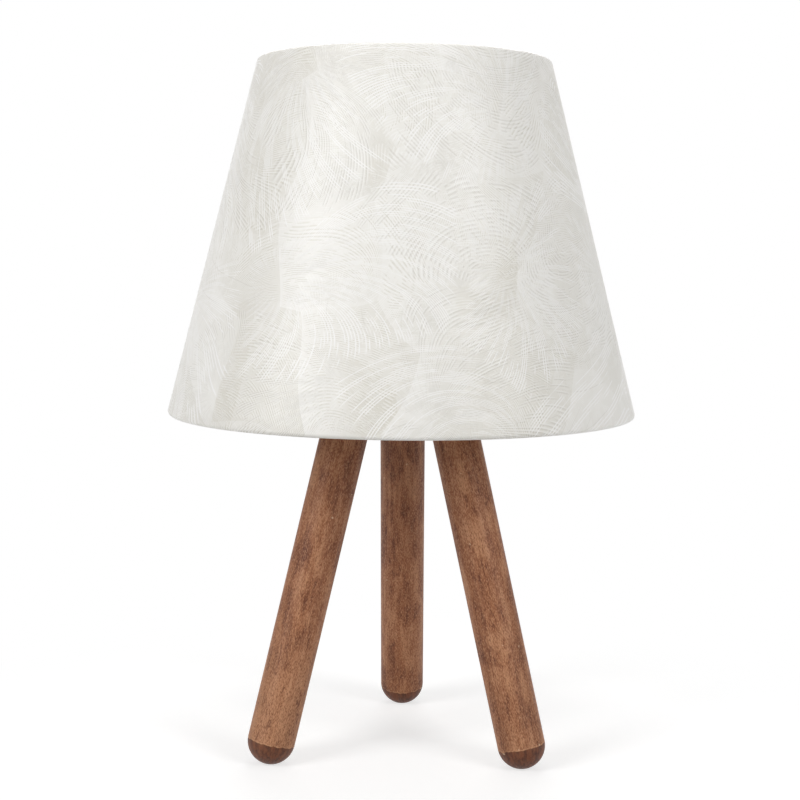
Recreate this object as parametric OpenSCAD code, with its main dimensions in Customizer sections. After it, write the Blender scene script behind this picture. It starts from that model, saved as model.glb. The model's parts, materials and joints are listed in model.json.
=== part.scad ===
// Bedside lamp: a conical drum shade clamped on a screw lampholder, which
// stands on a turned hub with three splayed round wooden legs.
// Millimetres, +Z up, origin on the floor under the lamp's axis, front towards -Y.

/* [Legs] */
// Diameter of the round legs
leg_d = 22; // [19:0.5:25]
// Diameter of the circle through the middle of the three feet
foot_circle_d = 133.2; // [120:0.2:170]
// Height of the hub's underside, where the legs end
hub_z = 190; // [175:1:205]
// How far the tripod is turned about the lamp's axis, in degrees
tripod_turn = -1.6; // [-15:0.1:15]
// Height of the edge on the foot, below the middle of its round end
crease_drop = 0.6; // [0:0.1:2]
// Depth sanded flat under each foot
sole_cut = 0.3; // [0.2:0.05:0.6]

/* [Hub] */
// Thickness of the turned hub
hub_t = 16; // [13:0.5:22]
// How far the hub stands out past the leg tops
hub_lip = 0.75; // [0:0.25:4]
// Rounding of the hub's rims
hub_round = 3; // [1:0.25:5]
// Diameter of the counterbore for the lower nut
counterbore_d = 17; // [16.8:0.1:19]
// Depth of the counterbore for the lower nut
counterbore_h = 7; // [5:0.5:9]

/* [Leg screws] */
// Shank diameter of the wood screws
screw_d = 4; // [3.5:0.1:4.5]
// Head diameter of the wood screws
screw_head_d = 8; // [7:0.1:9]
// Length of the wood screws
screw_l = 50; // [40:1:60]

/* [Stem] */
// Outside diameter of the threaded tube
stem_d = 10; // [9:0.5:10]
// Bore of the threaded tube
stem_bore_d = 8; // [6:0.1:8.5]
// How far the tube reaches below the hub
stem_drop = 4; // [2:0.5:8]
// Distance across the flats of the thin nuts
nut_flats = 14; // [13:0.1:14.2]
// Thickness of the thin nuts
nut_t = 3; // [2.5:0.1:4]
// Thickness of the washers
washer_t = 1.2; // [0.8:0.1:2]
// Diameter of the upper washer
upper_washer_d = 18; // [15:0.5:19]
// Bore of the bush that the mains lead comes in through
inlet_d = 7.2; // [5:0.1:7.6]
// Wall of the bush below the tube's end
bush_floor = 4; // [3:0.5:6]
// Wall of the bush round the tube
bush_wall = 1.4; // [1:0.1:2]

/* [Lampholder] */
// Outside diameter of the cap and of the skirt's lower part
holder_d = 42; // [41:0.5:46]
// Diameter of the skirt's outside thread
holder_thread_d = 39.8; // [39:0.1:40.4]
// Diameter of the shoulder that carries the shade
shoulder_d = 47; // [45:0.5:50]
// Thickness of that shoulder
shoulder_t = 3; // [2:0.5:5]
// Height of the cap
cap_h = 24; // [22:0.5:28]
// Height of the shoulder's seat over the cap's foot
seat_h = 38; // [36:0.5:44]
// Height of the whole holder
holder_h = 56; // [52:0.5:62]
// Diameter of the cap's neck
neck_d = 18; // [15:0.5:20]
// Height of the cap's straight neck
neck_h = 7; // [6:0.5:8]
// Wall of the cap and of the skirt
holder_wall = 1.7; // [1.4:0.1:2]
// Bore of the skirt above the insulator
chamber_d = 32.4; // [29:0.2:33]
// Thickness of the insulator that carries the contacts
core_t = 13; // [11:0.5:14]
// How far the insulator's foot sits below the cap's rim
core_sink = 8; // [6:0.5:9]
// Diameter of the lamp's screw base that the holder takes
lamp_base_d = 26; // [25.6:0.1:26.4]
// Sheet of the screw shell
shell_t = 0.4; // [0.3:0.05:0.6]
// Height of the screw shell
shell_h = 23; // [18:0.5:26]

/* [Clamp ring] */
// Outside diameter of the shade ring nut
clamp_d = 56; // [52:0.5:58]
// Height of the shade ring nut
clamp_h = 7; // [5:0.5:9]
// Number of grips round the ring nut
clamp_grips = 24; // [12:1:36]

/* [Shade] */
// Height of the shade's bottom rim over the floor
shade_z = 160.4; // [145:0.2:175]
// Height of the shade
shade_h = 163.5; // [150:0.5:190]
// Outside diameter of the shade's bottom rim
shade_bottom_d = 218.8; // [200:0.2:240]
// Outside diameter of the shade's top rim
shade_top_d = 136.6; // [124:0.2:160]
// Thickness of the printed cover
cover_t = 0.4; // [0.3:0.05:0.8]
// Thickness of the stiff lining
liner_t = 0.4; // [0.3:0.05:0.8]
// Width of the hem turned in over each hoop
hem_w = 8; // [5:0.5:12]
// Width of the lap where the cover's ends meet
lap_w = 12; // [8:0.5:18]
// Wire of the two hoops
hoop_wire_d = 2; // [1.6:0.1:3.2]
// Wire of the three arms
arm_wire_d = 3; // [2.5:0.1:3.6]
// Outside diameter of the ring that the arms carry
fitter_d = 68; // [66:0.5:76]
// Sheet of that ring
fitter_t = 1.2; // [1:0.1:2]
// Depth of the ring's turned-down rim
fitter_rim_h = 3; // [2:0.5:5]
// Inner bend of the arms
arm_bend_r = 5; // [3:0.5:8]

/* [Bulb] */
// Diameter of the bulb's globe
globe_d = 45; // [40:0.5:50]
// Length of the bulb from its contact to its top
bulb_h = 78; // [74:0.5:84]
// Diameter of the opening where the globe sits on the housing
globe_mouth_d = 37.6; // [34:0.2:38.4]
// Wall of the globe
globe_wall = 1.2; // [0.8:0.1:2]
// Wall of the housing
housing_wall = 1.6; // [1.2:0.1:2]

/* [Fits] */
// Radial play of screwed and pressed pieces
thread_gap = 0.05; // [0.03:0.01:0.1]
// Radial play round pieces that pass through a hole
pass_gap = 0.2; // [0.15:0.05:0.3]
// Air under a part that can be lifted or turned
seat_gap = 0.05; // [0:0.05:0.2]
// Radial play of the shade's ring round the holder
fitter_play = 0.9; // [0.5:0.1:1.2]
// Air between the bulb and what it is screwed into
bulb_gap = 0.3; // [0.25:0.05:0.5]

/* [Hidden] */
$fn = 96;
// Added to a cutting solid where it leaves the one that it cuts
over = 1;

// Tripod: the legs lean in at one angle and are cut level under the hub
leg_r = leg_d / 2;
foot_r = foot_circle_d / 2;
end_r = sqrt(pow(leg_r, 2) + pow(crease_drop, 2));
end_z = end_r - sole_cut;
leg_rise = hub_z - end_z;
counterbore_r = counterbore_d / 2;
first_splay = atan((foot_r - counterbore_r - leg_r) / leg_rise);
leg_cut_r = leg_r / cos(first_splay);
leg_seat_r = counterbore_r + thread_gap + leg_cut_r;
splay = atan((foot_r - leg_seat_r) / leg_rise);
rear_turn = 90 + tripod_turn;
left_turn = 210 + tripod_turn;
right_turn = -30 + tripod_turn;
leg_turns = [left_turn, right_turn, rear_turn];

// Hub and the screws that run down the legs' axes
hub_r = leg_seat_r + leg_cut_r + hub_lip;
hub_top = hub_z + hub_t;
screw_r = screw_d / 2;
screw_head_r = screw_head_d / 2;
screw_head_h = 0.6 * screw_head_r;
screw_tip_h = 1.5 * screw_d;
screw_top = (hub_top - end_z) / cos(splay) - screw_head_r * tan(splay) - pass_gap;
screw_hole_play = 0.15;

// Stem, from the bush at its foot up into the lampholder's cap
stem_r = stem_d / 2;
stem_bore_r = stem_bore_d / 2;
stem_z = hub_z - stem_drop;
stem_hole_r = stem_r + pass_gap;
nut_hole_r = stem_r + thread_gap;
holder_z = hub_top + washer_t + nut_t;
stem_top_z = holder_z + neck_h + 3;
lower_washer_z = hub_z + counterbore_h - washer_t;
lower_nut_z = lower_washer_z - nut_t;
lower_washer_r = counterbore_r - pass_gap;
bush_r = nut_hole_r + bush_wall;
bush_z = stem_z - bush_floor;
bush_sleeve_h = stem_drop + 1;
bush_chamfer = 1;

// Lampholder, upwards from the foot of its cap
holder_r = holder_d / 2;
neck_r = neck_d / 2;
holder_thread_r = holder_thread_d / 2;
shoulder_r = shoulder_d / 2;
chamber_r = chamber_d / 2;
dome_r = holder_r - neck_r;
dome_z = neck_h + dome_r;
socket_r = holder_r - holder_wall;
spigot_r = socket_r - thread_gap;
spigot_h = 4;
core_hole_r = spigot_r - holder_wall + 0.3;
core_r = core_hole_r - pass_gap;
core_ledge_r = core_r - 1.6;
core_z = cap_h - core_sink;
core_top = core_z + core_t;
grub_z = neck_h / 2 + 0.5;
grub_r = 1.5;
grub_turn = 90;
skirt_ribs = 24;
skirt_rib_r = 0.5;

// Contacts: one terminal for the shell, one for the middle
terminal_x = 9.5;
terminal_w = 6;
terminal_d = 7;
terminal_h = 8;
wire_hole_r = 1.3;
clamp_screw_r = 1.4;
clamp_head_r = 2.3;
clamp_head_h = 1.6;
clamp_screw_z = core_z + terminal_h / 2;
rivet_r = 1.1;
rivet_head_r = 1.9;
rivet_head_h = 0.4;
strip_t = 0.5;
strip_w = 5;
strip_lift = 2.4;
groove_depth = 1.2;
shell_bore_r = lamp_base_d / 2 + bulb_gap;
shell_r = shell_bore_r + shell_t;
shell_eye_r = 7;

// Seat of the shade and its ring nut
fitter_z = holder_z + seat_h + seat_gap;
fitter_top = fitter_z + fitter_t;
fitter_bore_r = holder_thread_r + fitter_play;
fitter_r = fitter_d / 2;
clamp_z = fitter_top + seat_gap;
clamp_r = clamp_d / 2;
clamp_bore_r = holder_thread_r + thread_gap;
clamp_neck_r = clamp_bore_r + 2.4;
clamp_plate_h = 2.2;
grip_r = 0.9;

// Shade wall: u runs up the slope from the bottom hoop, n inwards from its face
roll_gap = 0.1;
hoop_wire_r = hoop_wire_d / 2;
roll_hole_r = hoop_wire_r + roll_gap;
roll_r = roll_hole_r + cover_t;
bottom_hoop_r = shade_bottom_d / 2 - roll_r;
top_hoop_r = shade_top_d / 2 - roll_r;
bottom_hoop_z = shade_z + roll_r;
top_hoop_z = shade_z + shade_h - roll_r;
hoop_rise = top_hoop_z - bottom_hoop_z;
wall_lean = atan((bottom_hoop_r - top_hoop_r) / hoop_rise);
wall_l = hoop_rise / cos(wall_lean);
wall_up = [-sin(wall_lean), cos(wall_lean)];
wall_in = [-cos(wall_lean), -sin(wall_lean)];
wall_foot = [bottom_hoop_r, bottom_hoop_z] - roll_r * wall_in;
laminate_gap = 0.05;
liner_n = cover_t + laminate_gap;
hem_n = liner_n + liner_t + laminate_gap;
lap_margin = 3;

// Arms of the shade: from the top hoop down to the ring's weld
arm_wire_r = arm_wire_d / 2;
weld_flat = 0.3;
arm_turns = [90, 210, 330];
arm_foot_z = fitter_top + arm_wire_r - weld_flat;
arm_foot_r = clamp_r + arm_wire_r / 2 + 0.75;
arm_corner = [fitter_r + arm_bend_r, arm_foot_z];
arm_head = [top_hoop_r, top_hoop_z];
arm_run = arm_head - arm_corner;
arm_angle = atan2(arm_run.y, arm_run.x);
arm_dir = [cos(arm_angle), sin(arm_angle)];
arm_to_wall = 90 - arm_angle + wall_lean;
arm_leaves_liner = (arm_wire_r / cos(arm_to_wall) + liner_n + liner_t - roll_r) / tan(arm_to_wall);
liner_edge = max(roll_r, arm_leaves_liner) + 0.15;
arm_tangent = arm_bend_r * tan(arm_angle / 2);
arm_top = arm_head - (hoop_wire_r + laminate_gap) * arm_dir;
arm_bend_top = arm_corner + arm_tangent * arm_dir;
arm_bend_foot = arm_corner - [arm_tangent, 0];
notch_gap = 0.25;

// Bulb, upwards from its centre contact
bulb_z = holder_z + core_top - groove_depth + strip_lift + strip_t + bulb_gap;
lamp_base_r = lamp_base_d / 2;
bulb_cap_t = 0.35;
bulb_cap_z = 5;
bulb_cap_top = 26;
bulb_cap_foot_r = 10.5;
bulb_cap_cone_h = 2.5;
tip_r = 4.6;
tip_h = 1.4;
tip_ball_r = 9;
housing_neck_z = 15;
housing_neck_r = lamp_base_r - bulb_cap_t - thread_gap;
globe_r = globe_d / 2;
globe_mouth_r = globe_mouth_d / 2;
globe_z = bulb_h - globe_r;
globe_foot_z = globe_z - sqrt(pow(globe_r, 2) - pow(globe_mouth_r, 2));
housing_top = globe_foot_z - laminate_gap;
led_board_t = 1.6;
led_seat = 1.5;
led_board_z = housing_top - led_board_t;
led_board_r = globe_mouth_r - housing_wall - pass_gap;
chip_count = 8;
chip_w = 2.8;
chip_h = 0.6;
driver_t = 1.2;
driver_z = 10;
driver_h = 27;
driver_half_w = housing_neck_r - housing_wall - pass_gap;
capacitor_r = 3.2;
capacitor_h = 11;
coil_r = 3;
coil_h = 7;
part_lead = 3;
part_sink = 0.2;

// A point of the shade's wall, as [radius, height]
function wall_point(u, n) = wall_foot + u * wall_up + n * wall_in;

// Cross-section of a strip of the shade's wall
module wall_strip(u0, u1, n0, n1) {
  polygon([wall_point(u0, n0), wall_point(u1, n0), wall_point(u1, n1), wall_point(u0, n1)]);
}

// Flat ring or disc with a hole
module ring(r, hole_r, h) {
  difference() {
    cylinder(h = h, r = r);
    translate([0, 0, -over]) cylinder(h = h + 2 * over, r = hole_r);
  }
}

// Puts its children on a leg's axis, with the middle of the round foot at the origin
module on_leg(turn) {
  rotate([0, 0, turn]) translate([foot_r, 0, end_z]) rotate([0, -splay, 0]) children();
}

// Outline of a leg, half of it: straight rod and round end
module leg_outline() {
  translate([0, -crease_drop]) square([leg_r, leg_rise * 1.2]);
  intersection() {
    circle(r = end_r);
    translate([0, -end_r - over]) square([end_r + over, end_r + over - crease_drop]);
  }
}

// One leg, sanded flat underneath, cut level at the top and drilled for its screw
module leg(turn) {
  difference() {
    on_leg(turn) rotate_extrude() leg_outline();
    on_leg(turn) leg_screw_shape(screw_hole_play - 0.1);
    translate([-foot_circle_d, -foot_circle_d, hub_z]) cube([2 * foot_circle_d, 2 * foot_circle_d, leg_rise]);
    translate([-foot_circle_d, -foot_circle_d, -leg_d]) cube([2 * foot_circle_d, 2 * foot_circle_d, leg_d]);
  }
}

// Countersunk wood screw on a leg's axis, made larger by play for its hole
module leg_screw_shape(play) {
  translate([0, 0, screw_top]) {
    translate([0, 0, -screw_head_h])
      cylinder(h = screw_head_h, r1 = screw_r + play, r2 = screw_head_r + play);
    translate([0, 0, -screw_l + screw_tip_h]) cylinder(h = screw_l - screw_tip_h, r = screw_r + play);
    translate([0, 0, -screw_l - play]) cylinder(h = screw_tip_h + play, r1 = 0.3, r2 = screw_r + play);
  }
}

// Turned disc with rounded rims
module hub_blank() {
  inner_r = hub_r - hub_round;
  rotate_extrude() {
    square([inner_r, hub_t]);
    translate([0, hub_round]) square([hub_r, hub_t - 2 * hub_round]);
    for (z = [hub_round, hub_t - hub_round])
      translate([inner_r, z]) intersection() {
        circle(r = hub_round);
        translate([0, -hub_round]) square([hub_round, 2 * hub_round]);
      }
  }
}

module hub_block() {
  color("sienna") difference() {
    translate([0, 0, hub_z]) hub_blank();
    translate([0, 0, hub_z - over]) cylinder(h = hub_t + 2 * over, r = stem_hole_r);
    translate([0, 0, hub_z - over]) cylinder(h = counterbore_h + over, r = counterbore_r);
    for (turn = leg_turns) on_leg(turn) {
      leg_screw_shape(screw_hole_play);
      translate([0, 0, screw_top - 0.01]) cylinder(h = screw_head_d, r = screw_head_r + screw_hole_play);
    }
  }
}

module leg_left() {
  color("sienna") leg(left_turn);
}

module leg_right() {
  color("sienna") leg(right_turn);
}

module leg_rear() {
  color("sienna") leg(rear_turn);
}

module leg_screws() {
  color("silver") for (turn = leg_turns) on_leg(turn) leg_screw_shape(0);
}

// Threaded tube that joins the hub and the lampholder and leads the wires
module stem_tube() {
  color("silver") translate([0, 0, stem_z]) ring(stem_r, stem_bore_r, stem_top_z - stem_z);
}

// Thin hexagon nut with its corners turned off on both faces
module thin_nut() {
  corner_r = nut_flats / 2 / cos(30);
  bevel = corner_r - nut_flats / 2;
  difference() {
    intersection() {
      cylinder(h = nut_t, r = corner_r, $fn = 6);
      rotate_extrude() polygon([
        [0, 0], [corner_r - bevel, 0], [corner_r, bevel / 2],
        [corner_r, nut_t - bevel / 2], [corner_r - bevel, nut_t], [0, nut_t]
      ]);
    }
    translate([0, 0, -over]) cylinder(h = nut_t + 2 * over, r = nut_hole_r);
  }
}

module lower_washer() {
  color("silver") translate([0, 0, lower_washer_z]) ring(lower_washer_r, stem_hole_r, washer_t);
}

module lower_nut() {
  color("silver") translate([0, 0, lower_nut_z]) thin_nut();
}

module upper_washer() {
  color("silver") translate([0, 0, hub_top]) ring(upper_washer_d / 2, stem_hole_r, washer_t);
}

module upper_nut() {
  color("silver") translate([0, 0, hub_top + washer_t]) thin_nut();
}

// Plastic bush on the tube's foot, with a bevelled mouth for the mains lead
module cord_bush() {
  inlet_r = inlet_d / 2;
  color("ivory") translate([0, 0, bush_z]) rotate_extrude() polygon([
    [inlet_r, bush_chamfer], [inlet_r + bush_chamfer, 0],
    [bush_r - bush_chamfer, 0], [bush_r, bush_chamfer],
    [bush_r, bush_floor + bush_sleeve_h], [nut_hole_r, bush_floor + bush_sleeve_h],
    [nut_hole_r, bush_floor], [inlet_r, bush_floor]
  ]);
}

// Outline of the cap's outside: neck, rounded shoulder and spigot
module cap_outline() {
  square([neck_r, dome_z]);
  intersection() {
    translate([neck_r, dome_z]) circle(r = dome_r);
    translate([0, neck_h]) square([holder_r, dome_r]);
  }
  translate([0, dome_z]) square([holder_r, cap_h - dome_z]);
  translate([0, dome_z]) square([spigot_r, cap_h + spigot_h - dome_z]);
}

// Outline of the cap's inside: tube hole, wiring space and seat of the insulator
module cap_hollow() {
  floor_z = neck_h + holder_wall;
  translate([0, -over]) square([nut_hole_r, cap_h]);
  intersection() {
    translate([neck_r, dome_z]) circle(r = dome_r - holder_wall);
    translate([0, floor_z]) square([core_ledge_r, core_z - floor_z]);
  }
  translate([0, floor_z]) square([neck_r, core_z - floor_z + 0.01]);
  translate([0, core_z]) square([core_hole_r, cap_h + spigot_h - core_z + over]);
}

module holder_cap() {
  color("whitesmoke") translate([0, 0, holder_z]) difference() {
    rotate_extrude() difference() {
      cap_outline();
      cap_hollow();
    }
    grub_at() cylinder(h = neck_r, r = grub_r + thread_gap);
  }
}

// Puts its children on the grub screw's axis, pointing outwards from the tube
module grub_at() {
  rotate([0, 0, grub_turn]) translate([nut_hole_r, 0, grub_z]) rotate([0, 90, 0]) children();
}

module holder_grub_screw() {
  color("silver") translate([0, 0, holder_z]) grub_at() cylinder(h = neck_r - nut_hole_r - 0.3, r = grub_r);
}

// Puts its children on the axis of one terminal's clamping screw
module terminal_screw_at(side) {
  rotate([0, 0, side > 0 ? 0 : 180]) translate([terminal_x, 0, clamp_screw_z]) rotate([0, 90, 0]) children();
}

// Round insulator with pockets for the terminals and a groove for the middle contact
module holder_core() {
  pocket_w = terminal_w + 2 * pass_gap;
  pocket_d = terminal_d + 2 * pass_gap;
  color("white") translate([0, 0, holder_z]) difference() {
    translate([0, 0, core_z]) cylinder(h = core_t, r = core_r);
    translate([0, 0, core_z - over]) cylinder(h = over + 2, r = stem_bore_r + 1);
    for (side = [-1, 1]) {
      translate([side * terminal_x - pocket_w / 2, -pocket_d / 2, core_z - over])
        cube([pocket_w, pocket_d, terminal_h + over]);
      translate([side * terminal_x, 0, core_z]) cylinder(h = core_t + over, r = rivet_r + thread_gap);
      terminal_screw_at(side) cylinder(h = core_r, r = clamp_head_r + pass_gap);
    }
    translate([-core_ledge_r + 2, -strip_w / 2 - pass_gap, core_top - groove_depth])
      cube([core_ledge_r + 2, strip_w + 2 * pass_gap, groove_depth + over]);
  }
}

module terminals() {
  color("goldenrod") translate([0, 0, holder_z]) for (side = [-1, 1]) difference() {
    translate([side * terminal_x - terminal_w / 2, -terminal_d / 2, core_z])
      cube([terminal_w, terminal_d, terminal_h]);
    translate([side * terminal_x, 0, core_z - over]) cylinder(h = terminal_h - 1, r = wire_hole_r);
    translate([side * terminal_x, 0, core_z + terminal_h - 1.5]) cylinder(h = 3, r = rivet_r + thread_gap);
    terminal_screw_at(side) cylinder(h = terminal_w, r = clamp_screw_r + thread_gap);
  }
}

module terminal_screws() {
  shank_l = terminal_w / 2 - wire_hole_r + pass_gap;
  color("silver") translate([0, 0, holder_z]) for (side = [-1, 1]) terminal_screw_at(side) {
    translate([0, 0, wire_hole_r]) cylinder(h = shank_l, r = clamp_screw_r);
    translate([0, 0, wire_hole_r + shank_l]) cylinder(h = clamp_head_h, r = clamp_head_r);
  }
}

// Two rivets join the terminals to the shell and to the middle contact
module contact_rivets() {
  foot_z = core_z + terminal_h - 1.4;
  tops = [core_top + shell_t, core_top - groove_depth + strip_t];
  color("goldenrod") translate([0, 0, holder_z]) for (i = [0, 1]) {
    x = i == 0 ? terminal_x : -terminal_x;
    translate([x, 0, foot_z]) cylinder(h = tops[i] - foot_z, r = rivet_r);
    translate([x, 0, tops[i]]) cylinder(h = rivet_head_h, r = rivet_head_r);
  }
}

// Spring strip that rises to the middle of the socket
module centre_contact() {
  foot_x = -terminal_x - rivet_head_r - 0.6;
  rise_x = -terminal_x + rivet_head_r + 0.8;
  bottom = [[foot_x, 0], [rise_x, 0], [-1.8, strip_lift], [1.8, strip_lift], [3.4, strip_lift - 1]];
  top = [for (i = [len(bottom) - 1 : -1 : 0]) bottom[i] + [0, strip_t]];
  color("goldenrod") translate([0, 0, holder_z + core_top - groove_depth]) difference() {
    translate([0, strip_w / 2, 0]) rotate([90, 0, 0])
      linear_extrude(height = strip_w) polygon(concat(bottom, top));
    translate([-terminal_x, 0, -over]) cylinder(h = 2 * over + strip_t, r = rivet_r + thread_gap);
  }
}

// Drawn shell that the bulb screws into, with an eye for the middle contact
module screw_shell() {
  color("goldenrod") translate([0, 0, holder_z + core_top]) difference() {
    rotate_extrude() {
      translate([shell_eye_r, 0]) square([shell_r - shell_eye_r, shell_t]);
      translate([shell_bore_r, 0]) square([shell_t, shell_h]);
      translate([shell_bore_r, shell_h - shell_t]) square([2 * shell_t, shell_t]);
    }
    translate([terminal_x, 0, -over]) cylinder(h = 2 * over + shell_t, r = rivet_r + thread_gap);
  }
}

// Half outline of the skirt: ribbed foot, shoulder for the shade and threaded tube
module skirt_outline() {
  z0 = cap_h;
  shoulder_z = seat_h - shoulder_t;
  difference() {
    union() {
      translate([0, z0]) square([holder_r, shoulder_z - z0]);
      translate([0, shoulder_z]) square([shoulder_r, shoulder_t]);
      translate([0, z0]) square([holder_thread_r, holder_h - z0]);
    }
    translate([0, z0 - over]) square([socket_r, over + spigot_h + pass_gap]);
    translate([0, z0]) square([core_hole_r, core_top - z0]);
    translate([0, core_top - 0.01]) square([chamber_r, holder_h - core_top + over]);
    translate([chamber_r, holder_h]) rotate(45) square([1.2, 1.2], center = true);
  }
}

module holder_skirt() {
  rib_h = seat_h - shoulder_t - cap_h - 1;
  color("whitesmoke") translate([0, 0, holder_z]) {
    rotate_extrude() skirt_outline();
    for (i = [0 : skirt_ribs - 1]) rotate([0, 0, i * 360 / skirt_ribs])
      translate([holder_r, 0, cap_h + 0.5]) cylinder(h = rib_h + 0.5, r = skirt_rib_r);
  }
}

// Ring nut with a wide plate, a threaded neck and grips round its edge
module clamp_ring() {
  color("whitesmoke") translate([0, 0, clamp_z]) {
    rotate_extrude() {
      translate([clamp_bore_r, 0]) square([clamp_r - grip_r - clamp_bore_r, clamp_plate_h]);
      translate([clamp_bore_r, 0]) square([clamp_neck_r - clamp_bore_r, clamp_h]);
      translate([clamp_r - grip_r - 2, 0]) square([2, clamp_h]);
    }
    for (i = [0 : clamp_grips - 1]) rotate([0, 0, i * 360 / clamp_grips])
      translate([clamp_r - grip_r, 0, 0]) cylinder(h = clamp_h, r = grip_r);
  }
}

// Stamped ring with a turned-down rim that the arms are welded to
module fitter_ring() {
  color("white") translate([0, 0, fitter_z]) rotate_extrude() {
    translate([fitter_bore_r, 0]) square([fitter_r - fitter_bore_r, fitter_t]);
    translate([fitter_r - fitter_t, fitter_t - fitter_rim_h]) square([fitter_t, fitter_rim_h]);
  }
}

// Straight wire between two [radius, height] points
module wire(from, to, r) {
  run = to - from;
  translate([from.x, 0, from.y]) rotate([0, atan2(run.x, run.y), 0]) cylinder(h = norm(run), r = r);
}

// One arm: from the top hoop down, round the bend and flat onto the ring
module arm() {
  difference() {
    union() {
      wire(arm_bend_top, arm_top, arm_wire_r);
      translate([arm_bend_foot.x, 0, arm_bend_foot.y + arm_bend_r]) rotate([90, 0, 0]) rotate([0, 0, -90])
        rotate_extrude(angle = arm_angle) translate([arm_bend_r, 0]) circle(r = arm_wire_r);
      wire([arm_foot_r, arm_foot_z], arm_bend_foot, arm_wire_r);
    }
    translate([0, -arm_wire_d, fitter_top - arm_wire_d]) cube([fitter_r + 0.3, 2 * arm_wire_d, arm_wire_d]);
  }
}

module spider_arms() {
  color("white") for (turn = arm_turns) rotate([0, 0, turn]) arm();
}

// Wire hoop inside one hem of the shade
module hoop(r, z) {
  translate([0, 0, z]) rotate_extrude() translate([r, 0]) circle(r = hoop_wire_r);
}

module top_hoop() {
  color("white") hoop(top_hoop_r, top_hoop_z);
}

module bottom_hoop() {
  color("white") hoop(bottom_hoop_r, bottom_hoop_z);
}

// Stiff lining between the two rolled hems
module shade_liner() {
  color("ivory") rotate_extrude() wall_strip(liner_edge, wall_l - liner_edge, liner_n, liner_n + liner_t);
}

// Cross-section of the cover: wall, a roll round each hoop and the turned-in hems
module cover_outline() {
  hem_u = (roll_hole_r + roll_r) / 2;
  wall_strip(0, wall_l, 0, cover_t);
  wall_strip(hem_u - 0.3, hem_w, hem_n, hem_n + cover_t);
  wall_strip(wall_l - hem_w, wall_l - hem_u + 0.3, hem_n, hem_n + cover_t);
  for (u = [0, wall_l]) translate(wall_point(u, roll_r)) circle(r = roll_r);
}

module shade_cover() {
  color("linen") difference() {
    union() {
      rotate_extrude() difference() {
        cover_outline();
        for (u = [0, wall_l]) translate(wall_point(u, roll_r)) circle(r = roll_hole_r);
      }
      intersection() {
        rotate_extrude() wall_strip(lap_margin, wall_l - lap_margin, -cover_t, cover_t / 2);
        translate([-lap_w / 2, 0, 0]) cube([lap_w, shade_bottom_d, 2 * shade_h + shade_z]);
      }
    }
    for (turn = arm_turns) rotate([0, 0, turn])
      wire(arm_bend_top, arm_top + laminate_gap * arm_dir, arm_wire_r + notch_gap);
  }
}

// Thin plated shell of the bulb's screw base
module bulb_cap() {
  cone_top = bulb_cap_z + bulb_cap_cone_h;
  color("lightgray") translate([0, 0, bulb_z]) rotate_extrude() polygon([
    [bulb_cap_foot_r, bulb_cap_z], [lamp_base_r, cone_top], [lamp_base_r, bulb_cap_top],
    [lamp_base_r - bulb_cap_t, bulb_cap_top], [lamp_base_r - bulb_cap_t, cone_top + bulb_cap_t / 2],
    [bulb_cap_foot_r, bulb_cap_z + 1.5 * bulb_cap_t]
  ]);
}

// Black insulator between the base's shell and its contact
module bulb_insulator() {
  color("dimgray") translate([0, 0, bulb_z]) rotate_extrude() polygon([
    [tip_r + thread_gap, 1], [tip_r + 1.2, 1], [bulb_cap_foot_r - thread_gap, bulb_cap_z - 0.5],
    [bulb_cap_foot_r - thread_gap, bulb_cap_z + bulb_cap_cone_h],
    [tip_r + thread_gap, bulb_cap_z + bulb_cap_cone_h]
  ]);
}

// Rounded contact button
module bulb_tip() {
  color("lightgray") translate([0, 0, bulb_z]) intersection() {
    translate([0, 0, tip_ball_r]) sphere(r = tip_ball_r);
    cylinder(h = tip_h, r = tip_r);
  }
}

// Plastic housing that flares from the screw base to the globe
module bulb_housing() {
  flare_z = bulb_cap_top + laminate_gap;
  inner_top = led_board_z;
  color("whitesmoke") translate([0, 0, bulb_z]) rotate_extrude() polygon([
    [housing_neck_r - housing_wall, housing_neck_z], [housing_neck_r, housing_neck_z],
    [housing_neck_r, flare_z], [lamp_base_r + 0.6, flare_z],
    [lamp_base_r + 1.6, flare_z + 3.5], [globe_mouth_r - 1.2, housing_top - 4],
    [globe_mouth_r, housing_top], [globe_mouth_r - housing_wall, housing_top],
    [globe_mouth_r - housing_wall, inner_top], [globe_mouth_r - housing_wall - led_seat, inner_top],
    [globe_mouth_r - housing_wall - led_seat, inner_top - 1.5],
    [housing_neck_r - housing_wall, flare_z + 1]
  ]);
}

// Driver board on edge, with its capacitor and coil
module driver_board() {
  color("darkgreen") translate([0, 0, bulb_z]) {
    translate([-driver_half_w, -driver_t / 2, driver_z]) cube([2 * driver_half_w, driver_t, driver_h]);
    translate([-driver_half_w / 2, driver_t / 2 + capacitor_r - part_sink, driver_z + part_lead])
      cylinder(h = capacitor_h, r = capacitor_r);
    translate([driver_half_w / 2, -driver_t / 2 - coil_r + part_sink, driver_z + part_lead])
      cylinder(h = coil_h, r = coil_r);
  }
}

module led_board() {
  color("silver") translate([0, 0, bulb_z + led_board_z]) cylinder(h = led_board_t, r = led_board_r);
}

module led_chips() {
  color("gold") translate([0, 0, bulb_z + housing_top]) for (i = [0 : chip_count - 1])
    rotate([0, 0, i * 360 / chip_count]) translate([0.65 * led_board_r, -chip_w / 2, 0])
      cube([chip_w, chip_w, chip_h]);
}

// Opal globe, open where it sits on the housing
module bulb_globe() {
  color("white") translate([0, 0, bulb_z]) rotate_extrude() difference() {
    intersection() {
      translate([0, globe_z]) circle(r = globe_r);
      translate([0, globe_foot_z]) square([globe_r, globe_d]);
    }
    translate([0, globe_z]) circle(r = globe_r - globe_wall);
  }
}

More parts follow.
